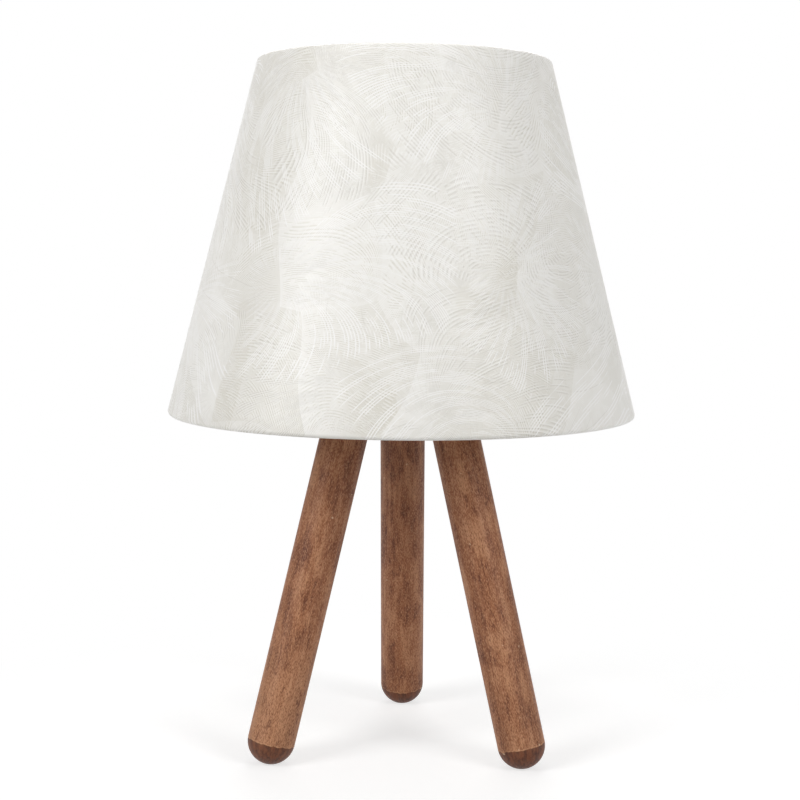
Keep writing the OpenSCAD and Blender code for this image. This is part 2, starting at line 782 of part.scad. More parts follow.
leg_left();
leg_right();
leg_rear();
hub_block();
leg_screws();
stem_tube();
lower_washer();
lower_nut();
upper_washer();
upper_nut();
cord_bush();
holder_cap();
holder_grub_screw();
holder_core();
terminals();
terminal_screws();
contact_rivets();
centre_contact();
screw_shell();
holder_skirt();
clamp_ring();
fitter_ring();
spider_arms();
top_hoop();
bottom_hoop();
shade_liner();
shade_cover();
bulb_cap();
bulb_insulator();
bulb_tip();
bulb_housing();
driver_board();
led_board();
led_chips();
bulb_globe();
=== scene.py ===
"""Looks of the bedside lamp: printed shade, stained tripod, screw lampholder and bulb.

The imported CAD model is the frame. Outlines are written in millimetres on the lamp's axis and
are made metres when a mesh is finished. The photograph looks along +Y.
"""
import json
import logging
import math
from abc import ABC, abstractmethod
from collections.abc import Sequence
from dataclasses import dataclass
from enum import Enum
from typing import ClassVar

import bmesh
import bpy
from mathutils import Matrix, Vector
from mathutils.geometry import interpolate_bezier


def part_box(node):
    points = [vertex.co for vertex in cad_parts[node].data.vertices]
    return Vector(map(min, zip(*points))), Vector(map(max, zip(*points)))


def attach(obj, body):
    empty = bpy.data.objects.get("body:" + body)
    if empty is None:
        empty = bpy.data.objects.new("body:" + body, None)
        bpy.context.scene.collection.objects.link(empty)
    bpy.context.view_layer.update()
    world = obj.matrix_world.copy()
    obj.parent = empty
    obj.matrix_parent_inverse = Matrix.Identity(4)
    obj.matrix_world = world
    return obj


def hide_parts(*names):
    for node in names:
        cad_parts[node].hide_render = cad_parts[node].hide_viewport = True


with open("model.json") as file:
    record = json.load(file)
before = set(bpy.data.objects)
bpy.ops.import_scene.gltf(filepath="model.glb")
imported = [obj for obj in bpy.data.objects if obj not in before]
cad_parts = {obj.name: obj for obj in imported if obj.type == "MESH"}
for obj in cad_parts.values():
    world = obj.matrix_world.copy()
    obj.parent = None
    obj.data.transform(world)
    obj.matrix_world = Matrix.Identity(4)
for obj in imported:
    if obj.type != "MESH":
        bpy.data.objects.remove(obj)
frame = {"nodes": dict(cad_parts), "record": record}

LOG = logging.getLogger("bedside_lamp")
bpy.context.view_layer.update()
MM = 0.001
TAU = math.tau
NEAR = 0.01
PHOTO_SIDE = 800
SHEET_MAP = "sheet"
WHITE = (1.0, 1.0, 1.0, 1.0)
LEVEL = (1.0, 1.0, 0.0)
HALF = (0.5, 0.5, 0.5)

Colour = tuple[float, float, float, float]
Pair = tuple[float, float]
Outline = Sequence[Pair]
Node, Socket, Outputs = bpy.types.Node, bpy.types.NodeSocket, bpy.types.NodeOutputs
Piece, Mesh = bpy.types.Object, bmesh.types.BMesh
Value = float | Sequence[float] | Socket


class Body(str, Enum):
    """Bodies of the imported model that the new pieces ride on."""

    BASE = "base"
    SHADE = "shade"
    BULB = "bulb"


class Slot(str, Enum):
    """Material slots of the record that the new pieces are listed with."""

    STEEL = "zinc_steel"
    BRASS = "brass"
    PLASTIC = "white_plastic"
    WIRE = "white_wire"
    PRINT = "printed_cover"
    NICKEL = "nickel"


def srgb(*levels: int) -> Colour:
    """Turns a colour as a screen shows it into the shader's linear one.

    Args:
        *levels: Red, green and blue, 0 to 255.

    Returns:
        Linear red, green, blue and an alpha of 1.
    """
    shares = [level / 255 for level in levels]
    return *(s / 12.92 if s <= 0.04045 else ((s + 0.055) / 1.055) ** 2.4 for s in shares), 1.0


@dataclass(frozen=True)
class NodeBox:
    """Box of one CAD node at rest, in millimetres."""

    lo: Vector
    hi: Vector

    @classmethod
    def of(cls, node: str) -> "NodeBox":
        """Reads the box of a CAD node by its name."""
        lo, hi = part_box(node)
        return cls(lo / MM, hi / MM)

    @property
    def radius(self) -> float:
        """Largest radius of a node that is round about the lamp's axis."""
        return (self.hi.x - self.lo.x) / 2

    @property
    def middle_z(self) -> float:
        """Height halfway up the node."""
        return (self.hi.z + self.lo.z) / 2

    @property
    def height(self) -> float:
        """Height of the node."""
        return self.hi.z - self.lo.z


class Graph:
    """One shader tree, with short calls that add nodes and join them.

    A value is a number, a vector, a colour or another node's output.
    """

    column_w: int = 190
    noise_roughness: float = 0.55
    mix_places: ClassVar[dict[str, tuple[int, int, int]]] = {"FLOAT": (2, 3, 0), "RGBA": (6, 7, 2)}

    def __init__(self, tree: bpy.types.NodeTree) -> None:
        """Keeps the tree of a material, a world or a group."""
        self.tree = tree

    def feed(self, node: Node, inputs: dict[str | int, Value]) -> None:
        """Joins a node's inputs to outputs, or sets their own values.

        Args:
            node: The node.
            inputs: Values by the input's name or place.
        """
        for name, value in inputs.items():
            if isinstance(value, Socket):
                self.tree.links.new(value, node.inputs[name])
            else:
                node.inputs[name].default_value = value

    def add(self, kind: str, inputs: dict[str | int, Value] | None = None, **settings: object) -> Node:
        """Adds a node.

        Args:
            kind: Blender's name of the node without its ShaderNode.
            inputs: Values by the input's name or place.
            **settings: Properties of the node.

        Returns:
            The new node.
        """
        node = self.tree.nodes.new(f"ShaderNode{kind}")
        node.location = (self.column_w * len(self.tree.nodes), 0)
        for name, value in settings.items():
            setattr(node, name, value)
        self.feed(node, inputs or {})
        return node

    def math(self, operation: str, first: Value, second: Value = 0.0) -> Socket:
        """Adds a Math node and gives its value."""
        return self.add("Math", {0: first, 1: second}, operation=operation).outputs[0]

    def times(self, first: Value, second: Value) -> Socket:
        """Multiplies two values."""
        return self.math("MULTIPLY", first, second)

    def plus(self, first: Value, second: Value) -> Socket:
        """Adds two values."""
        return self.math("ADD", first, second)

    def minus(self, first: Value, second: Value) -> Socket:
        """Takes the second value from the first."""
        return self.math("SUBTRACT", first, second)

    def larger(self, first: Value, second: Value) -> Socket:
        """Takes the larger of two values."""
        return self.math("MAXIMUM", first, second)

    def off(self, value: Value, middle: Value) -> Socket:
        """Tells how far a value is from a middle one."""
        return self.math("ABSOLUTE", self.minus(value, middle))

    def vector(self, operation: str, first: Value, second: Value = (0.0, 0.0, 0.0)) -> Socket:
        """Adds a Vector Math node and gives its vector, or its value for a length."""
        node = self.add("VectorMath", {0: first, 1: second}, operation=operation)
        return node.outputs["Value" if operation == "LENGTH" else "Vector"]

    def scaled(self, vector: Value, factor: Value) -> Socket:
        """Multiplies a vector by a value."""
        return self.add("VectorMath", {0: vector, "Scale": factor}, operation="SCALE").outputs["Vector"]

    def joined(self, **parts: Value) -> Socket:
        """Makes a vector of its X, Y and Z, with 0 for those not given."""
        return self.add("CombineXYZ", parts).outputs[0]

    def split(self, vector: Value) -> Outputs:
        """Gives a vector's X, Y and Z."""
        return self.add("SeparateXYZ", {"Vector": vector}).outputs

    def noise(self, vector: Value, scale: Value, detail: float = 2.0, flat: bool = False) -> Node:
        """Adds a Noise Texture, over the first two coordinates alone where it is flat."""
        looks = {"Vector": vector, "Scale": scale, "Detail": detail, "Roughness": self.noise_roughness}
        return self.add("TexNoise", looks, noise_dimensions="2D" if flat else "3D")

    def ramp(self, value: Value, band: Sequence[Value], result: Pair = (0.0, 1.0)) -> Socket:
        """Adds a smooth Map Range.

        Args:
            value: Value that is mapped.
            band: The two values that give the first and the last result.
            result: The first and the last result.

        Returns:
            The mapped value.
        """
        ends = {"From Min": band[0], "From Max": band[1], "To Min": result[0], "To Max": result[1]}
        node = self.add("MapRange", {"Value": value, **ends}, interpolation_type="SMOOTHSTEP")
        return node.outputs["Result"]

    def mixed(self, kind: str, factor: Value, first: Value, second: Value) -> Socket:
        """Adds a Mix node.

        Args:
            kind: Blender's name for what is mixed.
            factor: Share of the second, 0 to 1.
            first: First colour or value.
            second: Second colour or value.

        Returns:
            What lies between both.
        """
        at_first, at_second, at_result = self.mix_places[kind]
        node = self.add("Mix", {0: factor, at_first: first, at_second: second}, data_type=kind)
        return node.outputs[at_result]

    def mix(self, factor: Value, first: Value, second: Value) -> Socket:
        """Mixes two colours."""
        return self.mixed("RGBA", factor, first, second)

    def blend(self, factor: Value, first: Value, second: Value) -> Socket:
        """Mixes two values."""
        return self.mixed("FLOAT", factor, first, second)

    def lay(self, colour: Value, tint: Value, mark: Value, share: float) -> Socket:
        """Lays a tint on a colour, by a share of it where the mark is 1."""
        return self.mix(self.times(mark, share), colour, tint)

    def bump(self, height: Value, depth_mm: float) -> Socket:
        """Bends the normal by a height of which 1 stands for so many millimetres."""
        sizes = {"Height": height, "Distance": depth_mm * MM, "Strength": 1.0}
        return self.add("Bump", sizes).outputs["Normal"]

    def place(self) -> Socket:
        """Gives the place on the object, in metres."""
        return self.add("TexCoord").outputs["Object"]

    def seen(self) -> Socket:
        """Marks the rays that show a surface.

        Returns:
            1 for the camera's rays and for those in mirrors and glass, else 0.
        """
        path = self.add("LightPath").outputs
        direct = self.larger(path["Is Camera Ray"], path["Is Glossy Ray"])
        return self.larger(direct, path["Is Transmission Ray"])

    def effect(self, kind: "type[Effect]", **inputs: Value) -> Outputs:
        """Places a node group of this script and gives its outputs."""
        return self.add("Group", inputs, node_tree=kind().tree()).outputs

    def speckle(self, vector: Value, size_mm: float, **band: float) -> Socket:
        """Places the Speckle group with spots of a size."""
        return self.effect(Speckle, Vector=vector, Size=size_mm * MM, **band)[0]


class Effect(ABC):
    """A node group that finishes share, built once; an input of None is a vector."""

    name: ClassVar[str]
    inputs: ClassVar[dict[str, float | None]]
    outputs: ClassVar[Sequence[str]]

    def tree(self) -> bpy.types.NodeTree:
        """Makes the group on the first call.

        Returns:
            The group's tree.
        """
        made = bpy.data.node_groups.get(self.name)
        if made:
            return made
        tree = bpy.data.node_groups.new(self.name, "ShaderNodeTree")
        for name, value in self.inputs.items():
            kind = "NodeSocketVector" if value is None else "NodeSocketFloat"
            socket = tree.interface.new_socket(name, in_out="INPUT", socket_type=kind)
            if value is not None:
                socket.default_value = value
        for name in self.outputs:
            tree.interface.new_socket(name, in_out="OUTPUT", socket_type="NodeSocketFloat")
        graph = Graph(tree)
        source = tree.nodes.new("NodeGroupInput")
        results = self.draw(graph, {name: source.outputs[name] for name in self.inputs})
        graph.feed(tree.nodes.new("NodeGroupOutput"), dict(zip(self.outputs, results)))
        return tree

    @abstractmethod
    def draw(self, graph: Graph, given: dict[str, Socket]) -> Sequence[Socket]:
        """Adds the group's nodes.

        Args:
            graph: Graph of the group's tree.
            given: The group's inputs, by name.

        Returns:
            The outputs, in order.
        """


class Speckle(Effect):
    """Fine uneven spots, as on paint, moulded plastic and rolled metal."""

    name = "speckle"
    inputs = {"Vector": None, "Size": 0.001, "Low": 0.35, "High": 0.65}
    outputs = ("Value",)

    def draw(self, graph: Graph, given: dict[str, Socket]) -> Sequence[Socket]:
        """Adds one noise, stretched between Low and High.

        Args:
            graph: Graph of the group's tree.
            given: The group's inputs, by name.

        Returns:
            The stretched noise.
        """
        noise = graph.noise(given["Vector"], graph.math("DIVIDE", 1.0, given["Size"]), detail=3.0)
        return (graph.ramp(noise.outputs[0], (given["Low"], given["High"])),)


class LatheRings(Effect):
    """Faint rings round the lamp's axis, as turning and drawing leave them."""

    name = "lathe_rings"
    inputs = {"Vector": None, "Pitch": 0.0003}
    outputs = ("Height",)
    band: Pair = (0.3, 0.7)

    def draw(self, graph: Graph, given: dict[str, Socket]) -> Sequence[Socket]:
        """Adds rings by height and by distance from the axis, of uneven depth.

        Args:
            graph: Graph of the group's tree.
            given: The group's inputs, by name.

        Returns:
            The rings' height.
        """
        up = graph.split(given["Vector"])["Z"]
        out = graph.vector("LENGTH", graph.vector("MULTIPLY", given["Vector"], LEVEL))
        run = graph.math("DIVIDE", graph.plus(up, out), given["Pitch"])
        return (graph.ramp(graph.noise(graph.joined(X=run), 1.0).outputs[0], self.band),)


class WoodFigure(Effect):
    """Stained beech: soft clouds of stain, faint streaks, fine pores and a few dark veins along Z.

    Sizes are across and along the grain. A band holds the noise where a mark starts and is full.
    """

    name = "wood_figure"
    inputs = {"Vector": None, "Seed": 0.0}
    outputs = ("Tone", "Light Fleck", "Pore", "Vein", "Height")
    cloud_mm: Pair = (8.0, 17.0)
    streak_mm: Pair = (2.2, 30.0)
    fleck_mm: Pair = (0.35, 1.15)
    vein_mm: Pair = (3.2, 15.0)
    cloud_band: Pair = (0.36, 0.62)
    streak_band: Pair = (0.35, 0.65)
    fleck_band: Pair = (0.5, 0.68)
    pore_band: Pair = (0.5, 0.32)
    vein_band: Pair = (0.035, 0.0)
    veined_clouds: Pair = (0.56, 0.42)
    streak_share: float = 0.42
    fleck_relief: float = 0.6

    def figure(self, graph: Graph, vector: Value, size_mm: Pair, detail: float) -> Socket:
        """Adds noise that is longer along the grain than across it.

        Args:
            graph: Graph of the group's tree.
            vector: Coordinates in metres, with the grain along Z.
            size_mm: Size across and along the grain.
            detail: Octaves.

        Returns:
            The noise, about 0.5.
        """
        across, along = (1 / (size * MM) for size in size_mm)
        stretched = graph.vector("MULTIPLY", vector, (across, across, along))
        return graph.noise(stretched, 1.0, detail).outputs[0]

    def draw(self, graph: Graph, given: dict[str, Socket]) -> Sequence[Socket]:
        """Adds the clouds, the streaks, the flecks and the veins, which show in some clouds only.

        Args:
            graph: Graph of the group's tree.
            given: The group's inputs, by name.

        Returns:
            The tone, the light flecks, the pores, the veins and the height.
        """
        shift = graph.joined(X=given["Seed"], Z=given["Seed"])
        vector = graph.vector("ADD", given["Vector"], shift)
        clouds = self.figure(graph, vector, self.cloud_mm, detail=5.0)
        streaks = self.figure(graph, vector, self.streak_mm, detail=3.0)
        flecks = self.figure(graph, vector, self.fleck_mm, detail=2.0)
        veins = self.figure(graph, vector, self.vein_mm, detail=4.0)
        stain = graph.ramp(clouds, self.cloud_band), graph.ramp(streaks, self.streak_band)
        near_half = graph.ramp(graph.off(veins, 0.5), self.vein_band)
        return (
            graph.blend(self.streak_share, *stain),
            graph.ramp(flecks, self.fleck_band),
            graph.ramp(flecks, self.pore_band),
            graph.times(near_half, graph.ramp(clouds, self.veined_clouds)),
            graph.blend(self.fleck_relief, streaks, flecks),
        )


class PrintStrokes(Effect):
    """Patches of hair-fine strokes, in bent spokes from a point or in arcs round it.

    Each stroke has a pale edge beside it, a painted highlight as on an embossed ridge, and some
    patches stay blank. Long thin curves follow every few strokes. Lengths are in patches, but the
    sway, the edge's shift and the curves' step and width are in strokes. A pair holds where a mark
    starts and where it is full.
    """

    name = "print_strokes"
    inputs = {
        "Vector": None, "Patch": 0.05, "Pitch": 0.001, "Bend": 1.0,
        "Breaks": 2.0, "Sharpness": 2.0, "Bare": 0.5,
    }
    outputs = ("Strokes", "Edges", "Patch Tone", "Curve")
    uneven: float = 0.95
    spread: float = 1.7
    fan_reach: float = 0.7
    arcs_from: float = 0.7
    warp: float = 0.6
    warp_scale: float = 0.8
    sway: float = 5.0
    sway_scale: float = 1.5
    stroke_step: float = 0.31
    stroke_ends: Pair = (-0.03, 0.05)
    point_gap: Pair = (0.05, 0.2)
    border_gap: Pair = (0.0, 0.06)
    blank: Pair = (0.16, 0.18)
    edge_shift: float = 0.36
    tone_side: Pair = (-0.8, 1.0)
    curve_every: float = 9.0
    curve_w: float = 0.02
    curve_shown: Pair = (0.5, 0.58)

    def draw(self, graph: Graph, given: dict[str, Socket]) -> Sequence[Socket]:
        """Adds the patches, both kinds of stroke with ragged ends, and the curves.

        Args:
            graph: Graph of the group's tree.
            given: The group's inputs, by name.

        Returns:
            The strokes, their pale edges as painted highlights, the patches' tone and the curves.
        """
        place = graph.scaled(given["Vector"], graph.math("DIVIDE", 1.0, given["Patch"]))
        warp = graph.noise(place, self.warp_scale, 0.0, flat=True).outputs["Color"]
        place = graph.vector("ADD", place, graph.scaled(graph.vector("SUBTRACT", warp, HALF), self.warp))
        cells = {"Vector": place, "Scale": 1.0, "Randomness": self.uneven}
        patch = graph.add("TexVoronoi", cells, voronoi_dimensions="2D")
        borders = graph.add("TexVoronoi", cells, voronoi_dimensions="2D", feature="DISTANCE_TO_EDGE")
        chosen = graph.add("SeparateColor", {"Color": patch.outputs["Color"]}).outputs
        reach = self.from_point(graph, place, patch)
        parts = graph.split(reach)
        out = graph.vector("LENGTH", reach)
        turn = graph.math("ARCTAN2", parts["Y"], parts["X"])
        is_arc = graph.math("GREATER_THAN", chosen["Blue"], self.arcs_from)
        lines = graph.blend(is_arc, *self.line_numbers(graph, given, out, turn, chosen["Red"]))
        meander = graph.noise(place, self.sway_scale, 1.0, flat=True).outputs[0]
        lines = graph.plus(lines, graph.times(meander, self.sway))
        along = graph.times(graph.blend(is_arc, out, turn), given["Breaks"])
        single = graph.times(graph.math("ROUND", lines), self.stroke_step)
        ragged = graph.noise(graph.joined(X=along, Y=single), 1.0, flat=True).outputs[0]
        shown = graph.ramp(graph.minus(ragged, given["Bare"]), self.stroke_ends)
        ends = graph.times(
            graph.ramp(out, self.point_gap), graph.ramp(borders.outputs["Distance"], self.border_gap)
        )
        shown = graph.times(graph.times(ends, graph.ramp(chosen["Green"], self.blank)), shown)
        # the edges are the strokes shifted aside: a painted highlight beside each stroke
        strokes, edges = (
            graph.times(self.line(graph, lines, shift, given["Sharpness"]), shown)
            for shift in (0.0, self.edge_shift)
        )
        one_side = graph.ramp(graph.math("COSINE", turn), self.tone_side)
        every = graph.math("DIVIDE", lines, self.curve_every)
        curve = graph.ramp(graph.off(every, graph.math("ROUND", every)), (self.curve_w, 0.0))
        curve = graph.times(curve, graph.times(ends, graph.ramp(meander, self.curve_shown)))
        return strokes, edges, graph.times(chosen["Green"], one_side), curve

    def line(self, graph: Graph, lines: Value, shift: float, sharpness: Value) -> Socket:
        """Draws a line at each whole number.

        Args:
            graph: Graph of the group's tree.
            lines: Running number of the strokes.
            shift: How far the lines lie beside the whole numbers.
            sharpness: 1 for even waves, more for thin lines.

        Returns:
            A mask of the lines.
        """
        wave = graph.math("COSINE", graph.times(graph.minus(lines, shift), TAU))
        return graph.math("POWER", graph.ramp(wave, (-1.0, 1.0)), sharpness)

    def from_point(self, graph: Graph, place: Value, patch: Node) -> Socket:
        """Works out how far a place is from the point that its patch's strokes belong to.

        Args:
            graph: Graph of the group's tree.
            place: Place on the sheet.
            patch: Voronoi node that gives the patches.

        Returns:
            The way from the point.
        """
        spread = graph.scaled(graph.vector("SUBTRACT", patch.outputs["Color"], HALF), self.spread)
        reach = graph.vector("ADD", graph.vector("SUBTRACT", place, patch.outputs["Position"]), spread)
        return graph.vector("MULTIPLY", reach, LEVEL)

    def line_numbers(
        self, graph: Graph, given: dict[str, Socket], out: Value, turn: Value, chance: Value
    ) -> tuple[Socket, Socket]:
        """Numbers the strokes of a fan of bent spokes and of arcs round the point.

        Args:
            graph: Graph of the group's tree.
            given: The group's inputs.
            out: Distance from the point.
            turn: Direction from the point, in radians.
            chance: The patch's own random value, 0 to 1.

        Returns:
            The running number of the stroke in the fan, and among the arcs.
        """
        count = graph.math("DIVIDE", given["Patch"], given["Pitch"])
        spokes = graph.math("ROUND", graph.times(count, self.fan_reach * TAU))
        bend = graph.times(graph.minus(chance, 0.5), graph.times(given["Bend"], 2.0))
        turned_to = graph.plus(turn, graph.times(bend, out))
        return graph.times(graph.math("DIVIDE", turned_to, TAU), spokes), graph.times(out, count)


@dataclass(frozen=True)
class Finish(ABC):
    """A surface finish, with the name of its material."""

    name: str

    def material(self) -> bpy.types.Material:
        """Makes the material on the first call.

        Returns:
            The finish's material.
        """
        made = bpy.data.materials.get(self.name)
        if made:
            return made
        material = bpy.data.materials.new(self.name)
        material.use_nodes = True
        self.paint(Graph(material.node_tree), material.node_tree.nodes["Principled BSDF"])
        return material

    @abstractmethod
    def paint(self, graph: Graph, shader: Node) -> None:
        """Adds the finish's nodes.

        Args:
            graph: Graph of the material's tree.
            shader: The material's Principled BSDF.
        """


@dataclass(frozen=True)
class StainedWood(Finish):
    """Walnut-stained beech with its grain along one axis, and darker where a rod is cut across.

    A share says how strong a mark is. A band holds the noise where a mark starts and is full.
    The end of a leg wavers, and its edge is chipped and carries a lighter line, wear with a painted
    highlight, within the sizes given. Painted light makes a leg lighter towards its foot.
    """

    origin_mm: tuple[float, float, float] = (0.0, 0.0, 0.0)
    turn: tuple[float, float, float] = (0.0, 0.0, 0.0)
    end_z_mm: float | None = None
    seed: float = 0.0
    painted_foot_light: float = 0.0
    dark: Colour = srgb(100, 52, 28)
    middle: Colour = srgb(155, 101, 69)
    light: Colour = srgb(204, 152, 114)
    vein: Colour = srgb(82, 36, 20)
    end_grain: Colour = srgb(112, 62, 38)
    end_streak: Colour = srgb(66, 30, 17)
    bare: Colour = srgb(218, 188, 156)
    # heights where the painted light towards the foot starts and is full
    foot_mm: Pair = (75.0, 10.0)
    vein_share: float = 0.8
    fleck_share: float = 0.6
    pore_share: float = 0.72
    nick_share: float = 0.8
    nick_scale: float = 300.0
    nick_band: Pair = (0.79, 0.8)
    gloss_band: Pair = (0.35, 0.65)
    roughness: Pair = (0.6, 0.48)
    specular: float = 0.35
    relief_mm: float = 0.16
    edge_scale: float = 260.0
    edge_waver_mm: float = 2.4
    edge_soft_mm: float = 0.2
    streak_scale: tuple[float, float, float] = (700.0, 700.0, 130.0)
    streak_band: Pair = (0.36, 0.62)
    end_share: float = 0.88
    # the lighter line along the end's edge: wear with a painted highlight
    wear_highlight_z_mm: float = 0.3
    wear_highlight_mm: float = 0.5
    wear_highlight_band: Pair = (0.35, 0.6)
    wear_highlight_share: Pair = (0.1, 0.6)
    chip_mm: Pair = (1.4, 0.3)
    chip_band: Pair = (0.655, 0.69)

    def paint(self, graph: Graph, shader: Node) -> None:
        """Adds the grain, the flecks, the end grain and chips on the end's edge.

        Args:
            graph: Graph of the material's tree.
            shader: The material's Principled BSDF.
        """
        origin = [size * MM for size in self.origin_mm]
        along = {"Vector": graph.place(), "Location": origin, "Rotation": self.turn}
        local = graph.add("Mapping", along, vector_type="TEXTURE").outputs[0]
        figure = graph.effect(WoodFigure, Vector=local, Seed=self.seed)
        colour = graph.mix(graph.ramp(figure["Tone"], (0.0, 0.5), (0.25, 1.0)), self.dark, self.middle)
        colour = graph.mix(graph.ramp(figure["Tone"], (0.5, 1.0), (0.0, 0.5)), colour, self.light)
        # painted light: lighter towards the foot, as if the shade shadowed only the leg's top
        if self.painted_foot_light:
            foot = [height * MM for height in self.foot_mm]
            pale = graph.ramp(graph.split(local)["Z"], foot, (0.0, self.painted_foot_light))
            colour = graph.mix(pale, colour, self.light)
        nicks = graph.ramp(graph.noise(local, self.nick_scale, 1.0).outputs[0], self.nick_band)
        for tint, mark, share in (
            (self.vein, figure["Vein"], self.vein_share),
            (self.light, figure["Light Fleck"], self.fleck_share),
            (self.dark, figure["Pore"], self.pore_share), (self.bare, nicks, self.nick_share),
        ):
            colour = graph.lay(colour, tint, mark, share)
        if self.end_z_mm is not None:
            colour = self.end_colour(graph, local, colour)
        height = figure["Height"]
        graph.feed(shader, {
            "Base Color": colour, "Roughness": graph.ramp(height, self.gloss_band, self.roughness),
            "Specular IOR Level": self.specular, "Normal": graph.bump(height, self.relief_mm),
        })

    def end_colour(self, graph: Graph, local: Value, colour: Value) -> Socket:
        """Darkens the round end, chips its edge and lightens a line along it, wear with a painted highlight.

        Args:
            graph: Graph of the material's tree.
            local: Coordinates along the leg.
            colour: Colour of the rod.

        Returns:
            The colour with its end grain and chips.
        """
        edge, soft = self.end_z_mm * MM, self.edge_soft_mm * MM
        uneven = graph.noise(local, self.edge_scale, detail=3.0).outputs[0]
        shift = graph.times(graph.minus(uneven, 0.5), self.edge_waver_mm * MM)
        z = graph.plus(graph.split(local)["Z"], shift)
        end = graph.ramp(z, (edge + soft, edge - soft))
        stretched = graph.vector("MULTIPLY", local, self.streak_scale)
        streaks = graph.ramp(graph.noise(stretched, 1.0, detail=3.0).outputs[0], self.streak_band)
        colour = graph.lay(colour, graph.mix(streaks, self.end_streak, self.end_grain), end, self.end_share)
        # painted highlight with wear: a lighter line just above the end's edge
        off_edge = graph.off(z, edge + self.wear_highlight_z_mm * MM)
        rubbed = graph.ramp(uneven, self.wear_highlight_band, self.wear_highlight_share)
        wear_and_highlight = graph.times(graph.ramp(off_edge, (self.wear_highlight_mm * MM, 0.0)), rubbed)
        colour = graph.mix(wear_and_highlight, colour, self.light)
        near = graph.ramp(off_edge, [reach * MM for reach in self.chip_mm])
        return graph.mix(graph.times(near, graph.ramp(uneven, self.chip_band)), colour, self.bare)


@dataclass(frozen=True)
class StrokeLayer:
    """One layer of printed strokes, with its sizes in millimetres.

    Shift moves it on the sheet. Bend is the most that a spoke turns over a patch's width, in
    radians, and breaks says how often a stroke stops over it. Sharpness is 1 for even waves and
    more for thin lines. Bare is the share left blank.
    """

    shift: float
    patch: float
    pitch: float
    bend: float
    breaks: float
    sharpness: float
    bare: float
    shift_slope: float = 1.7

    def draw(self, graph: Graph, flat: Value) -> Outputs:
        """Adds the layer.

        Args:
            graph: Graph of the material's tree.
            flat: Place on the flat sheet, in metres.

        Returns:
            The layer's outputs.
        """
        moved = graph.vector("ADD", flat, (self.shift * MM, self.shift_slope * self.shift * MM, 0.0))
        return graph.effect(
            PrintStrokes, Vector=moved, Patch=self.patch * MM, Pitch=self.pitch * MM, Bend=self.bend,
            Breaks=self.breaks, Sharpness=self.sharpness, Bare=self.bare,
        )


@dataclass(frozen=True)
class PrintedCover(Finish):
    """Ivory cover with a tone-on-tone print of fine strokes and a few white threads.

    A share says how strong a mark is.
    """

    ground: Colour = srgb(243, 241, 236)
    light: Colour = srgb(252, 251, 247)
    shade: Colour = srgb(204, 199, 184)
    grey: Colour = srgb(164, 157, 145)
    thread: Colour = srgb(255, 254, 252)
    hatch: StrokeLayer = StrokeLayer(0, 50, 1.05, 0.9, 8.0, 1.8, 0.46)
    silk: StrokeLayer = StrokeLayer(370, 40, 1.0, 1.2, 7.0, 2.4, 0.48)
    tufts: StrokeLayer = StrokeLayer(810, 62, 1.5, 1.8, 5.0, 2.2, 0.49)
    threads: StrokeLayer = StrokeLayer(1430, 84, 1.3, 1.8, 3.2, 4.0, 0.5)
    cloud_mm: float = 45.0
    cloud_band: Pair = (0.3, 0.7)
    tooth_mm: float = 0.9
    tone_share: float = 0.4
    cloud_share: float = 0.2
    hatch_share: float = 0.42
    pale_and_highlight_share: float = 0.6
    curve_share: float = 0.65
    tuft_share: float = 0.6
    drawn_share: float = 0.36
    thread_share: float = 0.95
    hatch_relief: float = 0.7
    tooth_relief: float = 0.4
    relief_mm: float = 0.03
    roughness: Pair = (0.36, 0.3)
    specular: float = 0.36

    def paint(self, graph: Graph, shader: Node) -> None:
        """Adds four layers of strokes, the thin curves between them and the paper's tooth.

        Args:
            graph: Graph of the material's tree.
            shader: The material's Principled BSDF.
        """
        flat = graph.add("UVMap", uv_map=SHEET_MAP).outputs["UV"]
        layers = (self.hatch, self.silk, self.tufts, self.threads)
        hatch, silk, tufts, threads = (layer.draw(graph, flat) for layer in layers)
        bright = threads["Strokes"]
        tooth = graph.speckle(flat, self.tooth_mm)
        cloud = graph.speckle(flat, self.cloud_mm, Low=self.cloud_band[0], High=self.cloud_band[1])
        tone = graph.plus(tufts["Patch Tone"], hatch["Patch Tone"])
        # pale: white print strokes, and the painted highlight beside the other strokes
        pale = graph.larger(silk["Strokes"], graph.larger(hatch["Edges"], tufts["Edges"]))
        curves = graph.times(graph.larger(tufts["Curve"], hatch["Curve"]), self.curve_share)
        drawn = graph.larger(graph.times(tufts["Strokes"], self.tuft_share), curves)
        colour = self.ground
        for tint, mark, share in (
            (self.shade, tone, self.tone_share), (self.light, cloud, self.cloud_share),
            (self.shade, hatch["Strokes"], self.hatch_share), (self.light, pale, self.pale_and_highlight_share),
            (self.grey, drawn, self.drawn_share), (self.thread, bright, self.thread_share),
        ):
            colour = graph.lay(colour, tint, mark, share)
        relief = graph.minus(pale, graph.times(hatch["Strokes"], self.hatch_relief))
        relief = graph.plus(relief, graph.minus(bright, drawn))
        relief = graph.plus(relief, graph.times(tooth, self.tooth_relief))
        graph.feed(shader, {
            "Base Color": colour, "Roughness": graph.blend(bright, *self.roughness),
            "Specular IOR Level": self.specular, "Normal": graph.bump(relief, self.relief_mm),
        })


@dataclass(frozen=True)
class PaleSheet(Finish):
    """Stiff lining or opal plastic: one pale tone with faint clouds and a fine tooth."""

    colour: Colour
    deeper: Colour
    roughness: float
    cloud_mm: float = 30.0
    tooth_mm: float = 0.6
    relief_mm: float = 0.01
    roughness_play: float = 0.06

    def paint(self, graph: Graph, shader: Node) -> None:
        """Adds the clouds and the tooth.

        Args:
            graph: Graph of the material's tree.
            shader: The material's Principled BSDF.
        """
        place = graph.place()
        cloud, tooth = graph.speckle(place, self.cloud_mm), graph.speckle(place, self.tooth_mm)
        rough = self.roughness - self.roughness_play, self.roughness + self.roughness_play
        graph.feed(shader, {
            "Base Color": graph.mix(cloud, self.colour, self.deeper),
            "Roughness": graph.ramp(tooth, (0.0, 1.0), rough), "Normal": graph.bump(tooth, self.relief_mm),
        })


